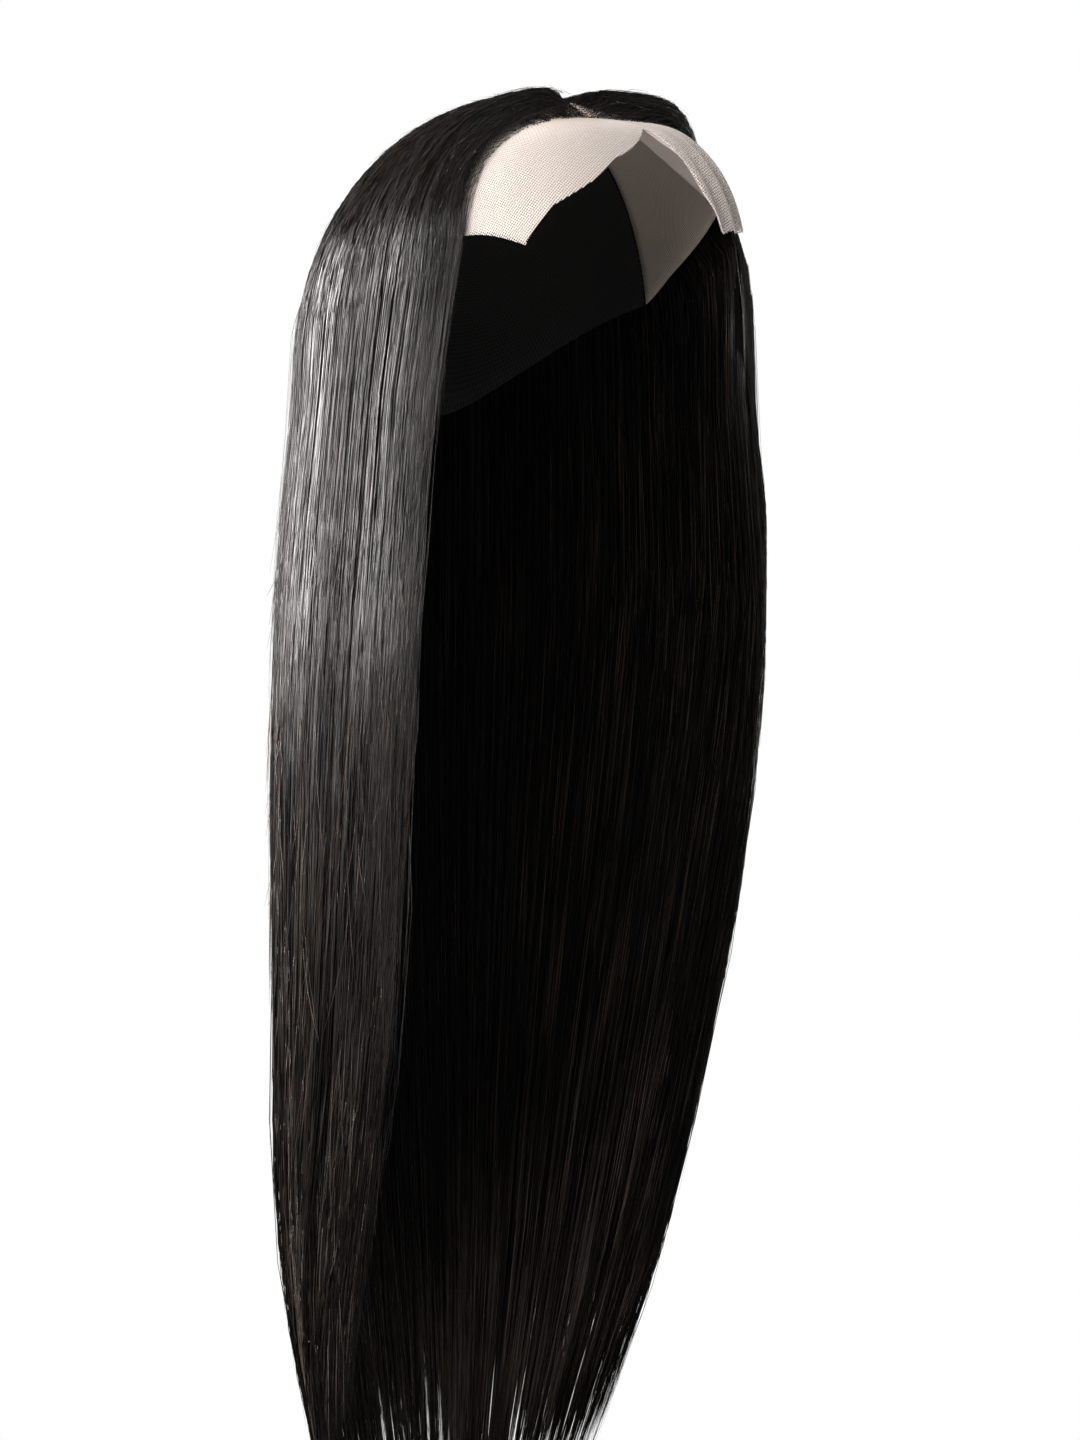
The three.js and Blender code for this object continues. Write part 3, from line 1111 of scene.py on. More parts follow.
    def flow(
        self,
        share: Array,
        middle: Array,
        lock: Array,
        pull: Array,
        travel: Array,
        random: np.random.Generator,
    ) -> Array:
        """Shares of strands along their way.

        A strand is drawn into its wisp and runs into a lock near its tip. It sways by a sine, more along
        the front edges, and a limit keeps it near the hairline.

        Args:
            share: shares of the roots.
            middle: shares of the middles of their wisps.
            lock: shares of the locks that they run into.
            pull: how strongly the wisps run into locks, with a spread of 1.
            travel: share of the way, by strand and station.
            random: source of the strands' own values.

        Returns:
            Shares, by strand and station.
        """
        count, shape = len(share), self.strand
        gather = self.gathering * smoothstep(travel, 0.08, 0.36) * random.uniform(0.6, 1.1, (count, 1))
        drawn = np.clip(0.55 + 0.35 * pull + random.normal(0, 0.12, count), 0, 1.1)[:, None]
        merge = self.merging * smoothstep(travel, 0.6, 1.05) * drawn
        front = smoothstep(np.abs(share), *shape.front_span)
        rim = smoothstep(np.abs(share), 0.93, 1.0)
        wave = random.uniform(0.5, 1.8, (count, 1)) * travel + random.uniform(0, 1, (count, 1))
        swing = random.normal(0, shape.sway, count) * (1 + 2.0 * front + 2.5 * rim)
        loose = smoothstep(travel, 0.1, 0.6) + 0.5 * smoothstep(travel, 0.7, 1.0)
        gathered = mix(mix(share[:, None], middle[:, None], gather), lock[:, None], merge)
        swayed = gathered + swing[:, None] * np.sin(2 * np.pi * wave) * loose
        sparse = (self.thinned(share) - share)[:, None] * (1 - smoothstep(travel, 0.15, 0.29))
        slack = shape.edge_slack * random.uniform(0, 1, (count, 1)) ** 3 * smoothstep(travel, 0.2, 0.5)
        limit = shape.edge + shape.thin_reach + slack
        return np.clip(swayed + sparse, -limit, limit)

    def climb(
        self,
        start: Array,
        depth: Array,
        stand: Array,
        lower: Array,
        angle: Array,
        travel: Array,
        random: np.random.Generator,
    ) -> Array:
        """Depths of strands along their way.

        A strand rises from its root to its own depth, wanders by a sine, and near its tip stands off with
        its wisp.

        Args:
            start: angles of the roots.
            depth: the strands' own depths.
            stand: how far the wisps stand off, with a spread of 1.
            lower: which strands are rooted lower.
            angle: degrees down the dome, by strand and station.
            travel: share of the way, by strand and station.
            random: source of the strands' own values.

        Returns:
            Depths, by strand and station.
        """
        count, shape = len(start), self.strand
        root = np.minimum(np.where(lower, 0.3, 0.06), depth)[:, None]
        rising = smoothstep(angle - start[:, None], 0.0, np.where(lower, 34.0, 3.5)[:, None])
        wave = 1.3 * travel + random.uniform(0, 1, (count, 1))
        wander = random.normal(0, shape.wander, (count, 1)) * np.sin(2 * np.pi * wave)
        apart = shape.stand * stand[:, None] * smoothstep(travel, 0.62, 1.0)
        return mix(root, depth[:, None], rising) + wander + apart

    def starts(self, share: Array, lower: Array, lie: Lie, random: np.random.Generator) -> Array:
        """Angle down the dome of the roots: on the parting, sparser behind the hairline, or on the cap.

        Args:
            share: shares of the strands.
            lower: which of them are rooted high on the cap.
            lie: whether they lie outside or under.
            random: source of the strands' own values.

        Returns:
            Degrees.
        """
        count, shape = len(share), self.strand
        bare = shape.bare_angle * np.clip((np.abs(share) - shape.bare_from) / (1 - shape.bare_from), 0, 1)
        sparse = shape.parting_band + shape.hairline_band * smoothstep(np.abs(share), 0.87, 1.0)
        on_parting = bare + random.uniform(0, 1, count) * sparse
        high, low = random.uniform(*shape.crown_roots, count), random.uniform(*shape.nape_roots, count)
        return np.where(lower, high, low) if lie is Lie.UNDER else on_parting

    def depths(
        self, share: Array, middle: Array, level: Array, lower: Array, lie: Lie, random: np.random.Generator
    ) -> Array:
        """Depths of strands in the hair.

        Outer strands lie near the outside, deeper away from the middle of their wisp and between two locks,
        and each wisp has a level of its own. Those rooted lower lie a little deeper, and the rest inside.

        Args:
            share: shares of the strands.
            middle: shares of the middles of their wisps.
            level: the wisps' own levels, with a spread of 1.
            lower: which of them are rooted lower.
            lie: whether they lie outside or under.
            random: source of the strands' own values.

        Returns:
            Depths, 0 on the underside and 1 on the topside.
        """
        count, shape = len(share), self.strand
        _, crest = self.crest(share)
        front = smoothstep(np.abs(share), *shape.front_span)
        gap = (shape.lock_gap + shape.front_gap * front) * (1 - crest) ** 3
        wisps = self.locks * shape.lock_wisps
        off = np.clip(np.abs(share - middle) / (self.last - self.first) * wisps, 0, 1)
        near = 1.0 - np.abs(random.normal(0, shape.depth_spread, count))
        near = near + (shape.wisp_level + shape.front_level * front) * level
        outside = np.clip(near - shape.wisp_round * off - gap, shape.least_depth, 1.0)
        if lie is Lie.OUTER:
            return outside
        return np.where(lower, outside - shape.lower_by, random.uniform(0.0, shape.inner_depth, count))

    def strands(self) -> list[bpy.types.Object]:
        """Builds the outer and the under strands, a mesh each.

        Returns:
            The two objects.
        """
        made = []
        for number, (lie, count) in enumerate(((Lie.OUTER, self.outer), (Lie.UNDER, self.under))):
            random = np.random.default_rng(self.seed + 17 * (number + 1))
            points, radii, place = self.paths(count, lie, random)
            name = f"{self.fall.value}_{lie.name.lower()}_strands"
            made.append(tubes(points, radii, self.form.outward(points), place).make(name))
        return made


@dataclass
class LaceClosure:
    """Lace panel: a knotted net over the forehead and hairline, and the plain ground under the hair."""

    form: HairForm
    sink: float = 0.0013
    pitch: float = 0.00105
    thread: float = 0.00030
    fine_thread: float = 0.00019
    slant: float = 40.0
    radius: float = 0.085
    middle: Point = (0.0, -0.005, -0.075)
    facing: Point = (0.0, -0.8, 0.6)
    back_share: float = 0.89
    parting_share: float = 0.82
    parting_rise: float = 0.0036
    pleat: float = 0.0011
    pleat_step: float = 9.0
    seam_share: float = 0.584
    ear_angle: float = 76.0
    temple_angle: float = 66.0
    flap: tuple[float, ...] = (24.0, 30.0, 46.0, 56.0)
    flat_reach: float = 0.13
    film_gap: float = 0.00035
    film_wall: float = 0.0002
    film_narrow: float = 1.2
    ground_rise: float = 0.0002
    ground_drop: float = 0.0003
    edge: tuple[Point, ...] = (
        (-50, 79, 0.0),
        (-34.5, 78, 0.0003),
        (-28, 65.5, 0.0006),
        (-15.5, 51, 0.0006),
        (-8, 41, 0.0006),
        (12, 30, 0.0006),
        (23, 25, 0.0008),
        (24, 46, 0.003),
        (25, 62, 0.0045),
        (29.5, 73, 0.005),
        (44, 77.5, 0.005),
        (52, 71, 0.0035),
        (62, 66, 0.001),
    )

    def reach(self, bearing: Array) -> Array:
        """Angle down the dome where the lace ends, by bearing from the middle of the forehead."""
        rows = np.array(self.edge)
        return np.interp(bearing, rows[:, 0], rows[:, 1])

    def lift(self, bearing: Array) -> Array:
        """Height of the free edge off its bed, by bearing."""
        rows = np.array(self.edge)
        return np.interp(bearing, rows[:, 0], rows[:, 2], left=0.0, right=0.0)

    def raised(self, bearing: Array, down: Array) -> Array:
        """Height of the lace off its bed.

        The free edge stands off by the square of the share of the way down to it. Pleats run down the loose
        flap as a sine over the bearing. At the front of the parting the lace swells up under the roots.

        Args:
            bearing: degrees from the middle of the forehead.
            down: degrees down the dome.

        Returns:
            Heights.
        """
        part = np.minimum(down / self.reach(bearing), 1.05)
        loose = plateau(bearing, *self.flap) * smoothstep(part, 0.3, 0.8)
        pleats = self.pleat * loose * np.sin(2 * np.pi * (bearing - self.flap[0]) / self.pleat_step)
        swell = smoothstep(np.abs(bearing), 50.0, 73.0) * (1 - smoothstep(down, 9.0, 20.0))
        return self.lift(bearing) * part**2 + pleats + self.parting_rise * swell

    def inner_bearing(self, down: Array) -> Array:
        """Bearing where the net ends under the hair, farther back beside the parting."""
        share = mix(self.parting_share, self.back_share, smoothstep(down, 9.0, 15.0))
        return 180 - share * self.form.rim_edge

    def flat_place(self, points: Array) -> Array:
        """Place of points on the lace laid flat.

        The angle of a point from the facing direction, seen from the middle of the head, times the radius
        of the head is its distance from the middle of the flat lace, and its bearing there stays.

        Args:
            points: points of the lace.

        Returns:
            Places with two axes.
        """
        facing = np.array(self.facing)
        right = np.array([1.0, 0.0, 0.0])
        upper = np.cross(right, -facing)
        ray = unit(points - np.array(self.middle))
        away = np.arccos(np.clip(ray @ facing, -1, 1))
        flat = np.stack([ray @ right, ray @ upper], axis=-1)
        return unit(flat) * (away * self.radius)[..., None]

    def flat_map(self, cell: float = 0.002) -> tuple[Array, Array, float]:
        """Regular grid over the flat lace that gives the real place of each spot.

        Many points of the lace are laid flat and shared out among the four nearest cells by closeness. Each
        cell keeps the mean of what it got, moved to the cell's own place by the local slope.

        Args:
            cell: spacing of the grid.

        Returns:
            Fields by row, column and kind (x, y, z, down, bearing), the grid's lowest corner and its spacing.
        """
        bearing, down = np.meshgrid(np.linspace(-82, 82, 1300), np.linspace(0.02, 86, 620), indexing="ij")
        points = self.form.lace_point(bearing, down, self.sink - self.raised(bearing, down))
        flat = self.flat_place(points).reshape(-1, 2)
        low = flat.min(axis=0) - 2 * cell
        size = np.ceil((flat.max(axis=0) - low) / cell).astype(int) + 3
        kinds = [points.reshape(-1, 3), down.reshape(-1, 1), bearing.reshape(-1, 1), flat]
        carried = np.concatenate(kinds, axis=1)
        spot = (flat - low) / cell
        base = np.floor(spot).astype(int)
        part = spot - base
        sums = np.zeros((size[0] * size[1], 7))
        weights = np.zeros(size[0] * size[1])
        for i in (0, 1):
            for j in (0, 1):
                weight = np.abs(1 - i - part[:, 0]) * np.abs(1 - j - part[:, 1])
                home = (base[:, 0] + i) * size[1] + base[:, 1] + j
                weights += np.bincount(home, weight, len(weights))
                for k in range(7):
                    sums[:, k] += np.bincount(home, weight * carried[:, k], len(weights))
        empty = weights < 1e-9
        means = np.where(empty[:, None], np.nan, sums / np.maximum(weights, 1e-9)[:, None])
        means = means.reshape(size[0], size[1], 7)
        cells = np.meshgrid(np.arange(size[0]), np.arange(size[1]), indexing="ij")
        place = np.stack(cells, axis=-1) * cell + low
        miss = place - means[..., 5:]
        slope = np.gradient(means[..., :5], cell, axis=(0, 1))
        shift = slope[0] * miss[..., :1] + slope[1] * miss[..., 1:]
        fields = means[..., :5] + np.where(np.isfinite(shift), shift, 0.0)
        return fields, low, cell

    def net(self) -> MeshArrays:
        """Net of the flap and hairline: two families of crossing threads, woven over and under.

        Each thread is a straight line on the flat lace, carried to the real lace, raised and lowered by a
        cosine with the pitch of the crossings, and cut where the lace ends.

        Returns:
            The mesh arrays of all threads.
        """
        fields, low, cell = self.flat_map()
        most = math.ceil(self.flat_reach / self.pitch)
        numbers = np.arange(-most, most + 1)
        line, stop = np.meshgrid(numbers, numbers, indexing="ij")
        tilt = math.radians(self.slant)
        first = np.array([math.cos(tilt), math.sin(tilt)])
        second = np.array([-math.sin(tilt), math.cos(tilt)])
        batches = []
        families = ((first, second, self.thread, 1.0), (second, -first, self.fine_thread, -1.0))
        for along, across, radius, sign in families:
            flat = (stop * self.pitch)[..., None] * along + (line * self.pitch)[..., None] * across
            real = self.look_up(fields, low, cell, flat)
            bearing, down = real[..., 4], real[..., 3]
            part = np.where(np.isfinite(down), down / self.reach(bearing), 9.0)
            inwards = np.abs(np.nan_to_num(bearing)) / self.inner_bearing(np.nan_to_num(down))
            ratio = np.maximum(part, inwards)
            wave = sign * self.thread * 0.5 * np.cos(np.pi * (stop + line))
            batches.append(self.threads(np.nan_to_num(real[..., :3]), ratio, part, wave, radius))
        points = np.concatenate([batch.points for batch in batches])
        shift = len(batches[0].points)
        quads = np.concatenate([batches[0].quads, batches[1].quads + shift])
        caps = np.concatenate([batches[0].triangles, batches[1].triangles + shift])
        return MeshArrays(points, quads, caps, np.concatenate([batch.places for batch in batches]))

    def look_up(self, fields: Array, low: Array, cell: float, flat: Array) -> Array:
        """Fields of the flat map at any spots, blended from the four nearest cells.

        Args:
            fields: fields by row, column and kind.
            low: the grid's lowest corner.
            cell: the grid's spacing.
            flat: spots on the flat lace.

        Returns:
            The fields, with no numbers outside the grid.
        """
        spot = (flat - low) / cell
        top = np.array(fields.shape[:2]) - 2
        base = np.floor(spot).astype(int)
        outside = np.any((base < 0) | (base > top), axis=-1)
        base = np.clip(base, 0, top)
        part = spot - base
        i, j = base[..., 0], base[..., 1]
        a, b = part[..., :1], part[..., 1:]
        near = mix(fields[i, j], fields[i + 1, j], a)
        far = mix(fields[i, j + 1], fields[i + 1, j + 1], a)
        found = mix(near, far, b)
        found[outside] = np.nan
        return found

    def threads(self, paths: Array, ratio: Array, part: Array, wave: Array, radius: float) -> MeshArrays:
        """Closed three-sided tubes along the parts of the lines that lie on the lace.

        A stop is on the lace where its ratio is under 1. The first stop past an end moves to the spot where
        the ratio is 1.

        Args:
            paths: points by line, stop and axis.
            ratio: share of the way to the end of the lace, by line and stop.
            part: share of the way down to the cut edge, for the map.
            wave: height off the lace, by line and stop.
            radius: of the threads.

        Returns:
            The mesh arrays.
        """
        paths, ratio = paths.copy(), ratio.copy()
        on = ratio < 1.0
        for here, there in ((slice(None, -1), slice(1, None)), (slice(1, None), slice(None, -1))):
            leaving = on[:, here] & ~on[:, there] & (ratio[:, there] < 3.0)
            gap = np.where(leaving, ratio[:, there] - ratio[:, here], 1.0)
            t = np.where(leaving, (1.0 - ratio[:, here]) / gap, 0.0)[..., None]
            cut = mix(paths[:, here], paths[:, there], t)
            target = paths[:, there]
            target[leaving] = cut[leaving]
            kept = ratio[:, there]
            kept[leaving] = 1.0
        keep = ratio <= 1.0
        outward = unit(paths - np.array(self.middle))
        lifted = paths + outward * wave[..., None]
        alone = keep.copy()
        alone[:, 1:] &= ~keep[:, :-1]
        alone[:, :-1] &= ~keep[:, 1:]
        keep &= ~alone
        across = np.cross(unit(np.gradient(lifted, axis=1)), outward)
        points = rings(lifted, np.full(keep.shape, radius), outward, across, 3)
        number = np.cumsum(keep.ravel()).reshape(keep.shape) - 1
        index = number[..., None] * 3 + np.arange(3)
        both = keep[:, :-1] & keep[:, 1:]
        quads = bands(index[:, :-1][both], index[:, 1:][both])
        start, end = keep.copy(), keep.copy()
        start[:, 1:] &= ~keep[:, :-1]
        end[:, :-1] &= ~keep[:, 1:]
        caps = np.concatenate([index[start][:, ::-1], index[end]])
        line = np.linspace(0.02, 0.97, len(paths))[:, None, None]
        u = np.broadcast_to(line, points.shape[:3]) + 0.002 * np.arange(3)
        v = np.broadcast_to(mix(0.01, 0.99, np.clip(part, 0, 1))[..., None], points.shape[:3])
        places = np.stack([u, v], axis=-1)[keep].reshape(-1, 2)
        return MeshArrays(points[keep].reshape(-1, 3), quads, caps, places)

    def film(self) -> MeshArrays:
        """Film of the finest filaments between the threads, just under the net and cut a little shorter.

        A point lies at a bearing and at a share of the way down to the cut edge there, lifted as the net is.

        Returns:
            The mesh arrays of a thin closed shell.
        """
        side, farthest = self.inner_bearing(np.array([90.0, 0.0]))
        rows = np.array(self.edge)[:, 0]
        beyond = side + self.film_narrow
        spread = [np.linspace(-side, side, 85), rows, [-beyond, beyond, -farthest, farthest]]
        bearing = np.unique(np.concatenate(spread))[:, None]
        share = np.linspace(0.02, 0.99, 34)[None, :]
        bearing, share = np.broadcast_arrays(bearing, share)
        narrow = mix(1.0, 0.2, smoothstep(np.abs(bearing), side, beyond))
        down = share * self.reach(bearing) * narrow
        sink = self.sink + self.film_gap - self.raised(bearing, down)
        outer = self.form.lace_point(bearing, down, sink)
        inner = self.form.lace_point(bearing, down, sink + self.film_wall)
        return shell(outer, inner)

    def ground(self) -> MeshArrays:
        """Ground of the lace under the hair, from the cap's seam to the net, in one sheet over the parting.

        Returns:
            The mesh arrays of a thin closed shell.
        """
        share = np.linspace(self.seam_share, self.back_share, 14)[:, None]
        across = np.linspace(-1, 1, 61)[None, :]
        end = mix(self.ear_angle, self.temple_angle, (share - self.seam_share) / (1 - self.seam_share))
        bearing = np.where(across < 0, -1.0, 1.0) * (180 - share * self.form.rim_edge)
        down = np.abs(across) * end
        outer = self.form.lace_point(bearing, down, self.sink - self.ground_rise + 0 * down)
        inner = self.form.lace_point(bearing, down, self.sink + self.ground_drop + 0 * down)
        return shell(outer, inner)


@dataclass(frozen=True)
class RootRows:
    """Rows of roots along both halves of the hairline: their number, spacing and scatter."""

    rows: int
    places: int
    inset: float
    row_step: float
    scatter: float
    first_angle: float
    place_step: float
    angle_scatter: float = 0.1

    def spots(self, random: np.random.Generator) -> tuple[Array, Array, Array, Array]:
        """Places of the roots.

        Rows follow the hairline and step back from it by a share. In a row, roots step down the dome by an
        angle, and every second row is set off by half a step.

        Args:
            random: source of the small shifts.

        Returns:
            Side, row, share of the way to the front edge and angle down the dome of each root.
        """
        numbers = np.arange(self.rows), np.arange(self.places)
        side, row, place = np.meshgrid([-1.0, 1.0], *numbers, indexing="ij")
        near = 1.0 - self.inset - self.row_step * row + random.normal(0, self.scatter, row.shape)
        angle = self.first_angle + self.place_step * (place + 0.5 * (row % 2))
        return side, row, near, angle + random.normal(0, self.angle_scatter, row.shape)


@dataclass
class HairlineHairs:
    """Single hairs that are knotted into the lace in rows along the hairline, and their knots."""

    form: HairForm
    lace: LaceClosure
    seed: int = 71
    radius: float = 0.00015
    front: RootRows = RootRows(9, 15, 0.012, 0.019, 0.002, 0.3, 0.896)
    sides: RootRows = RootRows(4, 54, 0.006, 0.013, 0.0012, 9.0, 1.12)
    foot_rise: float = 0.0004
    knot_half: float = 0.0005
    knot_radii: tuple[float, ...] = (0.0001, 0.00042, 0.0001)

    def roots(self, random: np.random.Generator) -> tuple[Array, Array]:
        """Places of the roots.

        Rows at the front of the parting fill the bare triangle there. The others run down to the temples
        and miss more roots towards the edge.

        Args:
            random: source of the missing roots and small shifts.

        Returns:
            Shares and angles down the dome.
        """
        side, _, near, angle = self.front.spots(random)
        kept = angle < 1.5 + 12 * (near - 0.82) / 0.18
        share, start = (side * near)[kept], angle[kept]
        side, row, near, angle = self.sides.spots(random)
        kept = random.uniform(0, 1, row.shape) < 0.5 + 0.18 * row
        return np.append(share, (side * near)[kept]), np.append(start, angle[kept])

    def build(self) -> list[bpy.types.Object]:
        """Builds the hairs and knots.

        A hair leaves its knot upwards and bends back into the flow of the hair.

        Returns:
            The hairs' object and the knots' object.
        """
        random = np.random.default_rng(self.seed)
        share, start = self.roots(random)
        count, side = len(share), np.sign(share)
        travel = np.linspace(0, 1, 6)[None, :]
        reach = random.uniform(12, 26, count)[:, None]
        angle = np.minimum(start[:, None] + reach * travel, 89.5)
        flow = share[:, None] - side[:, None] * (0.012 + 0.03 * random.uniform(0, 1, (count, 1))) * travel
        rise = random.uniform(0.35, 0.95, count)[:, None]
        level = np.full_like(angle, self.form.hang_z)
        points = self.form.hair_point(flow, angle, level, 1.2 * rise * smoothstep(travel, -0.15, 0.6))
        outward = unit(points - np.array(self.lace.middle))
        bearing = side * (180 - np.abs(self.form.set_back(share, start, level[:, 0])) * self.form.rim_edge)
        sink = self.lace.sink - self.foot_rise - self.lace.raised(bearing, start)
        foot = self.form.lace_point(bearing, start, sink)
        points[:, 0] = foot
        radii = self.radius * random.uniform(0.7, 1.2, (count, 1)) * (1 - 0.8 * travel)
        hairs = tubes(points, radii, outward, random.beta(1.6, 2.6, count)).make("hairline_hairs")
        half = self.knot_half * outward[:, 0]
        ends = np.stack([foot - half, foot, foot + half], axis=1)
        width = np.array(self.knot_radii)[None, :] * np.ones((count, 1))
        sideways = np.broadcast_to(np.array([0.3, 1.0, 0.2]), ends.shape)
        knots = tubes(ends, width, sideways, random.uniform(0, 1, count)).make("hairline_knots")
        return [hairs, knots]


@dataclass
class LooseHairs:
    """Flyaway hairs that stand a little off the crown and the falls."""

    form: HairForm
    count: int = 170
    short_count: int = 420
    seed: int = 93
    radius: float = 0.00011
    stations: int = 13
    short_stations: int = 5
    over_head: float = 0.3
    lowest_root: float = 70.0
    tip_rise: float = 0.3
    swing: float = 0.02
    short_roots: tuple[float, float] = (1.0, 34.0)
    short_reach: tuple[float, float] = (3.0, 9.0)
    short_lift: tuple[float, float] = (0.02, 0.2)
    head_z: float = -0.08

    def build(self) -> bpy.types.Object:
        """Builds the loose hairs: flow lines outside the hair, each lifted by a sine over its length.

        Returns:
            The object of all loose hairs.
        """
        random = np.random.default_rng(self.seed)
        count = self.count
        share = random.uniform(-0.99, 0.99, count)
        travel = np.linspace(0, 1, self.stations)[None, :]
        start = random.uniform(0, self.lowest_root, count)[:, None]
        angle = mix(start, 90.0, np.minimum(travel / self.over_head, 1.0))
        tip = self.form.hem(share)[:, None] + random.uniform(0, self.tip_rise, (count, 1))
        down = np.maximum((travel - self.over_head) / (1 - self.over_head), 0.0)
        z = mix(self.form.hang_z, tip, down)
        lift = random.gamma(1.5, 0.06, count)[:, None] * np.sin(np.pi * np.minimum(travel * 1.1 + 0.05, 1.0))
        swing = random.normal(0, self.swing, (count, 1))
        sway = swing * np.sin(np.pi * travel * random.uniform(0.6, 2.0, (count, 1)))
        flow = np.clip(share[:, None] + sway, -1, 1)
        points = self.form.hair_point(flow, angle, z, 1.0 + lift)
        radii = self.radius * random.uniform(0.7, 1.2, (count, 1)) * (1 - 0.7 * travel)
        tone = random.beta(1.6, 2.0, count)
        return tubes(points, radii, self.form.outward(points), tone).make("loose_hairs")

    def fuzz(self) -> bpy.types.Object:
        """Builds the short hairs that stand off the crown: flow lines that rise with the square of the way.

        Returns:
            The object of all short hairs.
        """
        random = np.random.default_rng(self.seed + 1)
        count = self.short_count
        share = random.uniform(-0.97, 0.97, count)[:, None]
        travel = np.linspace(0, 1, self.short_stations)[None, :]
        root = random.uniform(*self.short_roots, count)[:, None]
        angle = root + random.uniform(*self.short_reach, count)[:, None] * travel
        flow = share + random.normal(0, 0.03, (count, 1)) * travel
        depth = 0.92 + 0.08 * travel + random.uniform(*self.short_lift, (count, 1)) * travel**2
        points = self.form.hair_point(flow, angle, np.full_like(angle, self.form.hang_z), depth)
        radii = self.radius * random.uniform(0.6, 1.0, (count, 1)) * (1 - 0.7 * travel)
        outward = points - np.array([0.0, 0.0, self.head_z])
        return tubes(points, radii, outward, random.beta(1.6, 2.0, count)).make("crown_fuzz")


@dataclass
class StrayHairs:
    """Hairs that lie across the falls at small angles and curve away from them; their paler tone is painted
    glints.
    """

    form: HairForm
    count: int = 1000
    seed: int = 117
    radius: float = 0.00013
    length: tuple[float, float] = (0.008, 0.15)
    levels: tuple[float, float] = (-0.56, -0.16)
    lowest_z: float = -0.63
    right_share: float = 0.6
    slope: float = 0.03
    bend: float = 0.035
    clearance: float = 0.03
    stations: int = 5

    def build(self) -> bpy.types.Object:
        """Builds the stray hairs.

        Each starts at a share and level, falls by its length, drifts aside by a slope and a bend, the second
        with the square of the way down, and stands off the hair more and more.

        Returns:
            The object of all stray hairs.
        """
        random = np.random.default_rng(self.seed)
        count = self.count
        side = np.where(random.uniform(0, 1, count) < self.right_share, -1.0, 1.0)
        share = side * random.beta(2.6, 1.2, count) * 0.98
        top = random.uniform(*self.levels, count)
        travel = np.linspace(0, 1, self.stations)[None, :]
        long = random.beta(0.7, 3.0, (count, 1))
        z = top[:, None] - mix(*self.length, long) * travel
        aside = random.normal(0, self.slope, (count, 1)) * travel
        aside = aside + random.normal(0, self.bend, (count, 1)) * travel**2
        drift = aside * (0.15 + 1.2 * long)
        flow = np.clip(share[:, None] + drift, -1.0, 1.0)
        depth = 1.0 + self.clearance + random.gamma(1.5, 0.05, (count, 1)) * travel
        points = self.form.hair_point(flow, np.full_like(z, 90.0), np.maximum(z, self.lowest_z), depth)
        radii = self.radius * random.uniform(0.7, 1.2, (count, 1)) * (1 - 0.6 * np.abs(2 * travel - 1))
        tone = random.uniform(0, 1, count)
        return tubes(points, radii, self.form.outward(points), tone).make("stray_hairs_painted_glint")


@dataclass
class EndHairs:
    """Fine hairs in loose bundles that fill the thinning lower ends of the falls; their paler tone is painted
    sheen.
    """

    form: HairForm
    bundles: int = 430
    bundle: int = 7
    seed: int = 141
    radius: float = 0.00012
    length: tuple[float, float] = (0.05, 0.14)
    scatter: float = 0.016
    below_hem: float = 0.03
    bundle_rise: float = 0.03
    tip_spread: float = 0.015
    drift: float = 0.006
    depths: tuple[float, float] = (-0.2, 1.05)
    stations: int = 3

    def build(self) -> bpy.types.Object:
        """Builds the end hairs.

        Each ends a little above or below the hem. Above its tip it runs straight up for its length and
        drifts aside by a slope of its own, so that neighbours of a bundle cross.

        Returns:
            The object of all end hairs.
        """
        random = np.random.default_rng(self.seed)
        count = self.bundles * self.bundle
        middle = np.repeat(2 * random.beta(1.4, 1.4, self.bundles) - 1, self.bundle)
        above = np.repeat(np.abs(random.normal(0, self.bundle_rise, self.bundles)), self.bundle)
        share = np.clip(middle + random.normal(0, self.scatter, count), -0.99, 0.99)
        spread = np.abs(random.normal(0, self.tip_spread, count))
        tip = np.maximum(self.form.hem(share) - self.below_hem + above + spread, self.form.lowest_z)
        travel = np.linspace(0, 1, self.stations)[None, :]
        z = tip[:, None] + random.uniform(*self.length, count)[:, None] * (1 - travel)
        slope, bend = random.normal(0, self.drift, (2, count, 1))
        flow = np.clip(share[:, None] + slope * travel + bend * travel**2, -1.0, 1.0)
        depth = random.uniform(*self.depths, (count, 1)) + random.normal(0, 0.12, (count, 1)) * travel
        points = self.form.hair_point(flow, np.full_like(z, 90.0), z, depth)
        radii = self.radius * random.uniform(0.7, 1.2, (count, 1)) * (1 - 0.75 * np.abs(2 * travel - 1))
        tone = random.uniform(0, 1, count)
        return tubes(points, radii, self.form.outward(points), tone).make("end_hairs_painted_sheen")


@dataclass
class NetCap:
    """Stretch-net cap over the back of the head."""

    form: HairForm
    seam_share: float = 0.58
    seam_gap: float = 0.001
    nape_angle: float = 90.0
    ear_angle: float = 76.0
    sink: float = 0.0011
    wall: float = 0.0011

    def build(self) -> bpy.types.Object:
        """Builds the cap: a dome from the seam on the parting down to the nape, as a thin closed shell.

        Returns:
            The cap's object.
        """
        share = np.linspace(-self.seam_share, self.seam_share, 73)[:, None]
        down = np.linspace(0.0, 1.0, 40)[None, :]
        end = mix(self.nape_angle, self.ear_angle, smoothstep(np.abs(share), 0.0, self.seam_share))
        root_y = self.form.root(np.array([self.seam_share]), 0.0)[0, 1] + self.seam_gap
        share = share + 0 * down
        root = np.stack([0 * share, 0 * share + root_y], axis=-1)
        angle = np.maximum(down * end, 0.4)
        outer = self.form.net_point(root, share, angle, np.full_like(share, self.sink))
        inner = self.form.net_point(root, share, angle, np.full_like(share, self.sink + self.wall))
        return shell(outer, inner).make("cap_net")


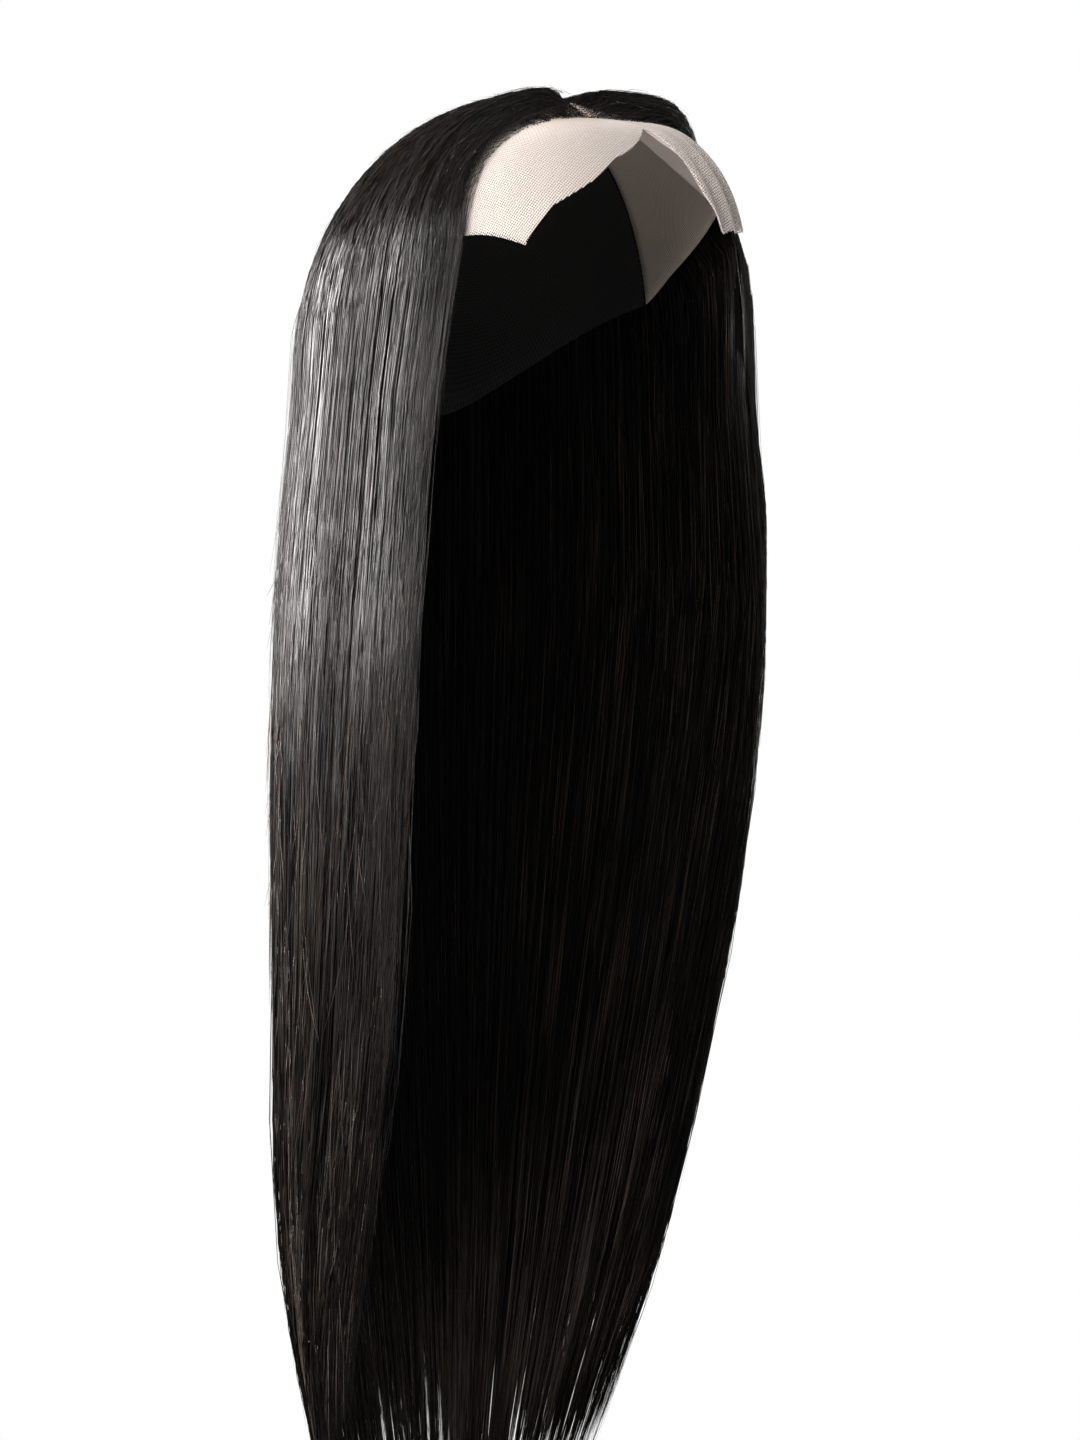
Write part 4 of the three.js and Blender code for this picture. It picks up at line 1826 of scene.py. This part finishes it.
@dataclass(frozen=True)
class Softbox:
    """A rectangular area light: its place, the point that it faces, its size and its power."""

    name: str
    place: Point
    target: Point
    size: tuple[float, float]
    power: float
    mirrored: bool = True
    tint: Colour = (1.0, 0.965, 0.955)

    def make(self) -> None:
        """Adds the light, which shows in glossy pieces unless it is said not to be mirrored."""
        data = bpy.data.lights.new(self.name, "AREA")
        data.shape = "RECTANGLE"
        data.size, data.size_y = self.size
        data.energy = self.power
        data.color = self.tint
        lamp = bpy.data.objects.new(self.name, data)
        ray = np.array(self.target) - np.array(self.place)
        tilt = math.acos(-ray[2] / np.linalg.norm(ray))
        lamp.location = self.place
        lamp.rotation_euler = (tilt, 0.0, math.atan2(ray[1], ray[0]) - math.pi / 2)
        lamp.visible_glossy = self.mirrored
        bpy.context.scene.collection.objects.link(lamp)


@dataclass
class Studio:
    """Camera, lights, floor and white surround."""

    turn: float = -28.0
    distance: float = 2.300
    height: float = -0.2689
    aside: float = -0.00267
    lens: float = 129.4
    floor_z: float = -0.95
    floor_radius: float = 1.45
    strip: tuple[float, float] = (0.5, 0.73)
    strip_z: float = 0.205
    level_light: float = 0.07
    top_light: float = 0.29

    def across(self, right: float, back: float, up: float) -> Point:
        """Place given by distances to the right and away, as seen from the camera's side, and up.

        Args:
            right: distance to the right.
            back: distance away from the camera.
            up: level.

        Returns:
            The place.
        """
        turn = math.radians(self.turn)
        x = right * math.cos(turn) - back * math.sin(turn)
        y = right * math.sin(turn) + back * math.cos(turn)
        return x, y, up

    def camera(self) -> None:
        """Adds the level camera at the photograph's angle."""
        data = bpy.data.cameras.new("camera")
        data.lens = self.lens
        data.sensor_width = 36.0
        view = bpy.data.objects.new("camera", data)
        view.location = self.across(self.aside, -self.distance, self.height)
        view.rotation_euler = (math.radians(90), 0.0, math.radians(self.turn))
        bpy.context.scene.collection.objects.link(view)
        bpy.context.scene.camera = view

    def lights(self) -> None:
        """Adds the softboxes."""
        facing = (0.0, 0.0, self.strip_z)
        side, quarter = self.across(-1.5, 0.0, self.strip_z), self.across(-1.27, -0.8, self.strip_z)
        rim, front = self.across(1.3, 1.1, -0.2), self.across(-0.7, -1.7, 0.7)
        Softbox("side softbox", side, facing, self.strip, 25.5).make()
        Softbox("quarter softbox", quarter, facing, self.strip, 23.5).make()
        Softbox("rim softbox", rim, (0.05, 0.0, -0.2), (0.5, 0.9), 7.0).make()
        Softbox("front softbox", front, (0.0, 0.0, -0.1), (0.9, 0.9), 37.0, mirrored=False).make()

    def surround(self) -> None:
        """Adds the white surround: bright to the eye, and a dimmer source of light, most of it from above."""
        graph = Graph.of_surround("white surround")
        place = graph.node("ShaderNodeTexCoord", {}, {}, "Generated")
        height = graph.node("ShaderNodeSeparateXYZ", {}, {0: place}, "Z")
        light = graph.spread(height, (0.0, 1.0), (self.level_light, self.top_light))
        seen = graph.node("ShaderNodeLightPath", {}, {}, "Is Camera Ray")
        strength = graph.spread(seen, (0.0, 1.0), (light, 1.0))
        bpy.context.scene.world = graph.finish({"Color": (1.0, 1.0, 1.0, 1.0), "Strength": strength})
        bpy.context.scene.view_settings.view_transform = "Standard"

    def floor(self) -> None:
        """Adds the round pale floor, well below the hair."""
        turn = np.linspace(0, 2 * np.pi, 97)[:-1]
        rim = np.stack([np.cos(turn), np.sin(turn), 0 * turn], axis=-1) * self.floor_radius
        mesh = bpy.data.meshes.new("floor")
        mesh.from_pydata((rim + np.array([0, 0, self.floor_z])).tolist(), [], [list(range(len(turn)))])
        disc = bpy.data.objects.new("floor", mesh)
        bpy.context.scene.collection.objects.link(disc)
        disc.visible_glossy = False
        graph = Graph.of_material("pale floor")
        mesh.materials.append(graph.finish({"Base Color": (0.86, 0.86, 0.86, 1.0), "Roughness": 0.9}))


@dataclass
class Wig:
    """The whole wig: its pieces, finishes and ties to the frame."""

    form: HairForm = field(default_factory=HairForm)

    def tie(self, piece: bpy.types.Object, slot: str, material: bpy.types.Material, *nodes: str) -> None:
        """Dresses a piece, rides it on the body, hides the frame's nodes that it takes the place of and logs
        its triangles.

        Args:
            piece: the piece.
            slot: not used.
            material: its finish.
            nodes: the frame's nodes that it takes the place of.
        """
        piece.data.materials.append(material)
        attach(piece, "root")
        if nodes:
            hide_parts(*nodes)
        piece.data.calc_loop_triangles()
        LOG.info("%s: %d triangles", piece.name, len(piece.data.loop_triangles))

    def falls(self) -> list[HairFall]:
        """The three falls, with the numbers of their locks and strands and how these gather.

        Returns:
            The falls.
        """
        right = HairFall(
            self.form, Fall.RIGHT, first=-1.0, last=-0.4635, locks=20, outer=1900, under=1150, seed=1000,
            bed_rise=0.06, bed_notch=0.06, gathering=0.6, merging=0.5,
        )
        back = HairFall(
            self.form, Fall.BACK, first=-0.46, last=0.46, locks=28, outer=1620, under=1050, seed=2000,
            bed_rise=0.005, bed_notch=0.03, gathering=0.25, merging=0.08,
        )
        left = HairFall(
            self.form, Fall.LEFT, first=0.4635, last=1.0, locks=18, outer=1480, under=820, seed=3000,
            bed_rise=0.05, bed_notch=0.05, gathering=0.6, merging=0.4,
        )
        return [right, back, left]

    def hair(self) -> None:
        """Builds and dresses the three falls, the hairline and the loose hairs."""
        strand, bed = StrandFinish().make(), BedFinish().make()
        for fall in self.falls():
            self.tie(fall.bed(), "hair", bed, fall.fall.value)
            for strands in fall.strands():
                self.tie(strands, "hair", strand)
        hairs, knots = HairlineHairs(self.form, LaceClosure(self.form)).build()
        self.tie(hairs, "hair", strand)
        self.tie(knots, "hair", KnotFinish().make())
        loose = LooseHairs(self.form)
        self.tie(loose.build(), "hair", strand)
        self.tie(loose.fuzz(), "hair", strand)
        # Paler tones for the stray and end hairs are painted highlights: glints on single hairs across the
        # falls, and sheen on the thinning ends.
        painted_highlight_tones = (0.03, 0.024, 0.02), (0.07, 0.056, 0.047), (0.15, 0.12, 0.1)
        pale = StrandFinish("stray hairs", *painted_highlight_tones).make()
        self.tie(StrayHairs(self.form).build(), "hair", pale)
        self.tie(EndHairs(self.form).build(), "hair", pale)

    def lace_and_cap(self) -> None:
        lace = LaceClosure(self.form)
        net = lace.net().make("lace_net")
        film = lace.film().make("lace_film")
        ground = lace.ground().make("lace_ground")
        # The ground's thread tone is painted shade: far darker than the lace thread, as the lace looks in the
        # shade inside the wig.
        ground_painted_shade_finish = NetFinish("lace ground with painted shade", (0.50, 0.43, 0.37), (0.10, 0.08, 0.07), 400.0, 800.0)
        self.tie(net, "lace", LaceFinish().make(), "lace_closure")
        self.tie(film, "lace", FilmFinish().make())
        self.tie(ground, "lace", ground_painted_shade_finish.make())
        cap = NetCap(self.form).build()
        cap_finish = NetFinish("cap net", (0.024, 0.022, 0.022), (0.004, 0.004, 0.004), 900.0, 420.0)
        self.tie(cap, "cap_net", cap_finish.make(), "cap")


def main() -> None:
    """Builds the wig and the studio."""
    logging.basicConfig(level=logging.INFO, format="%(name)s %(message)s")
    wig = Wig()
    wig.hair()
    wig.lace_and_cap()
    studio = Studio()
    studio.camera()
    studio.lights()
    studio.surround()
    studio.floor()


if __name__ == "__main__":
    main()
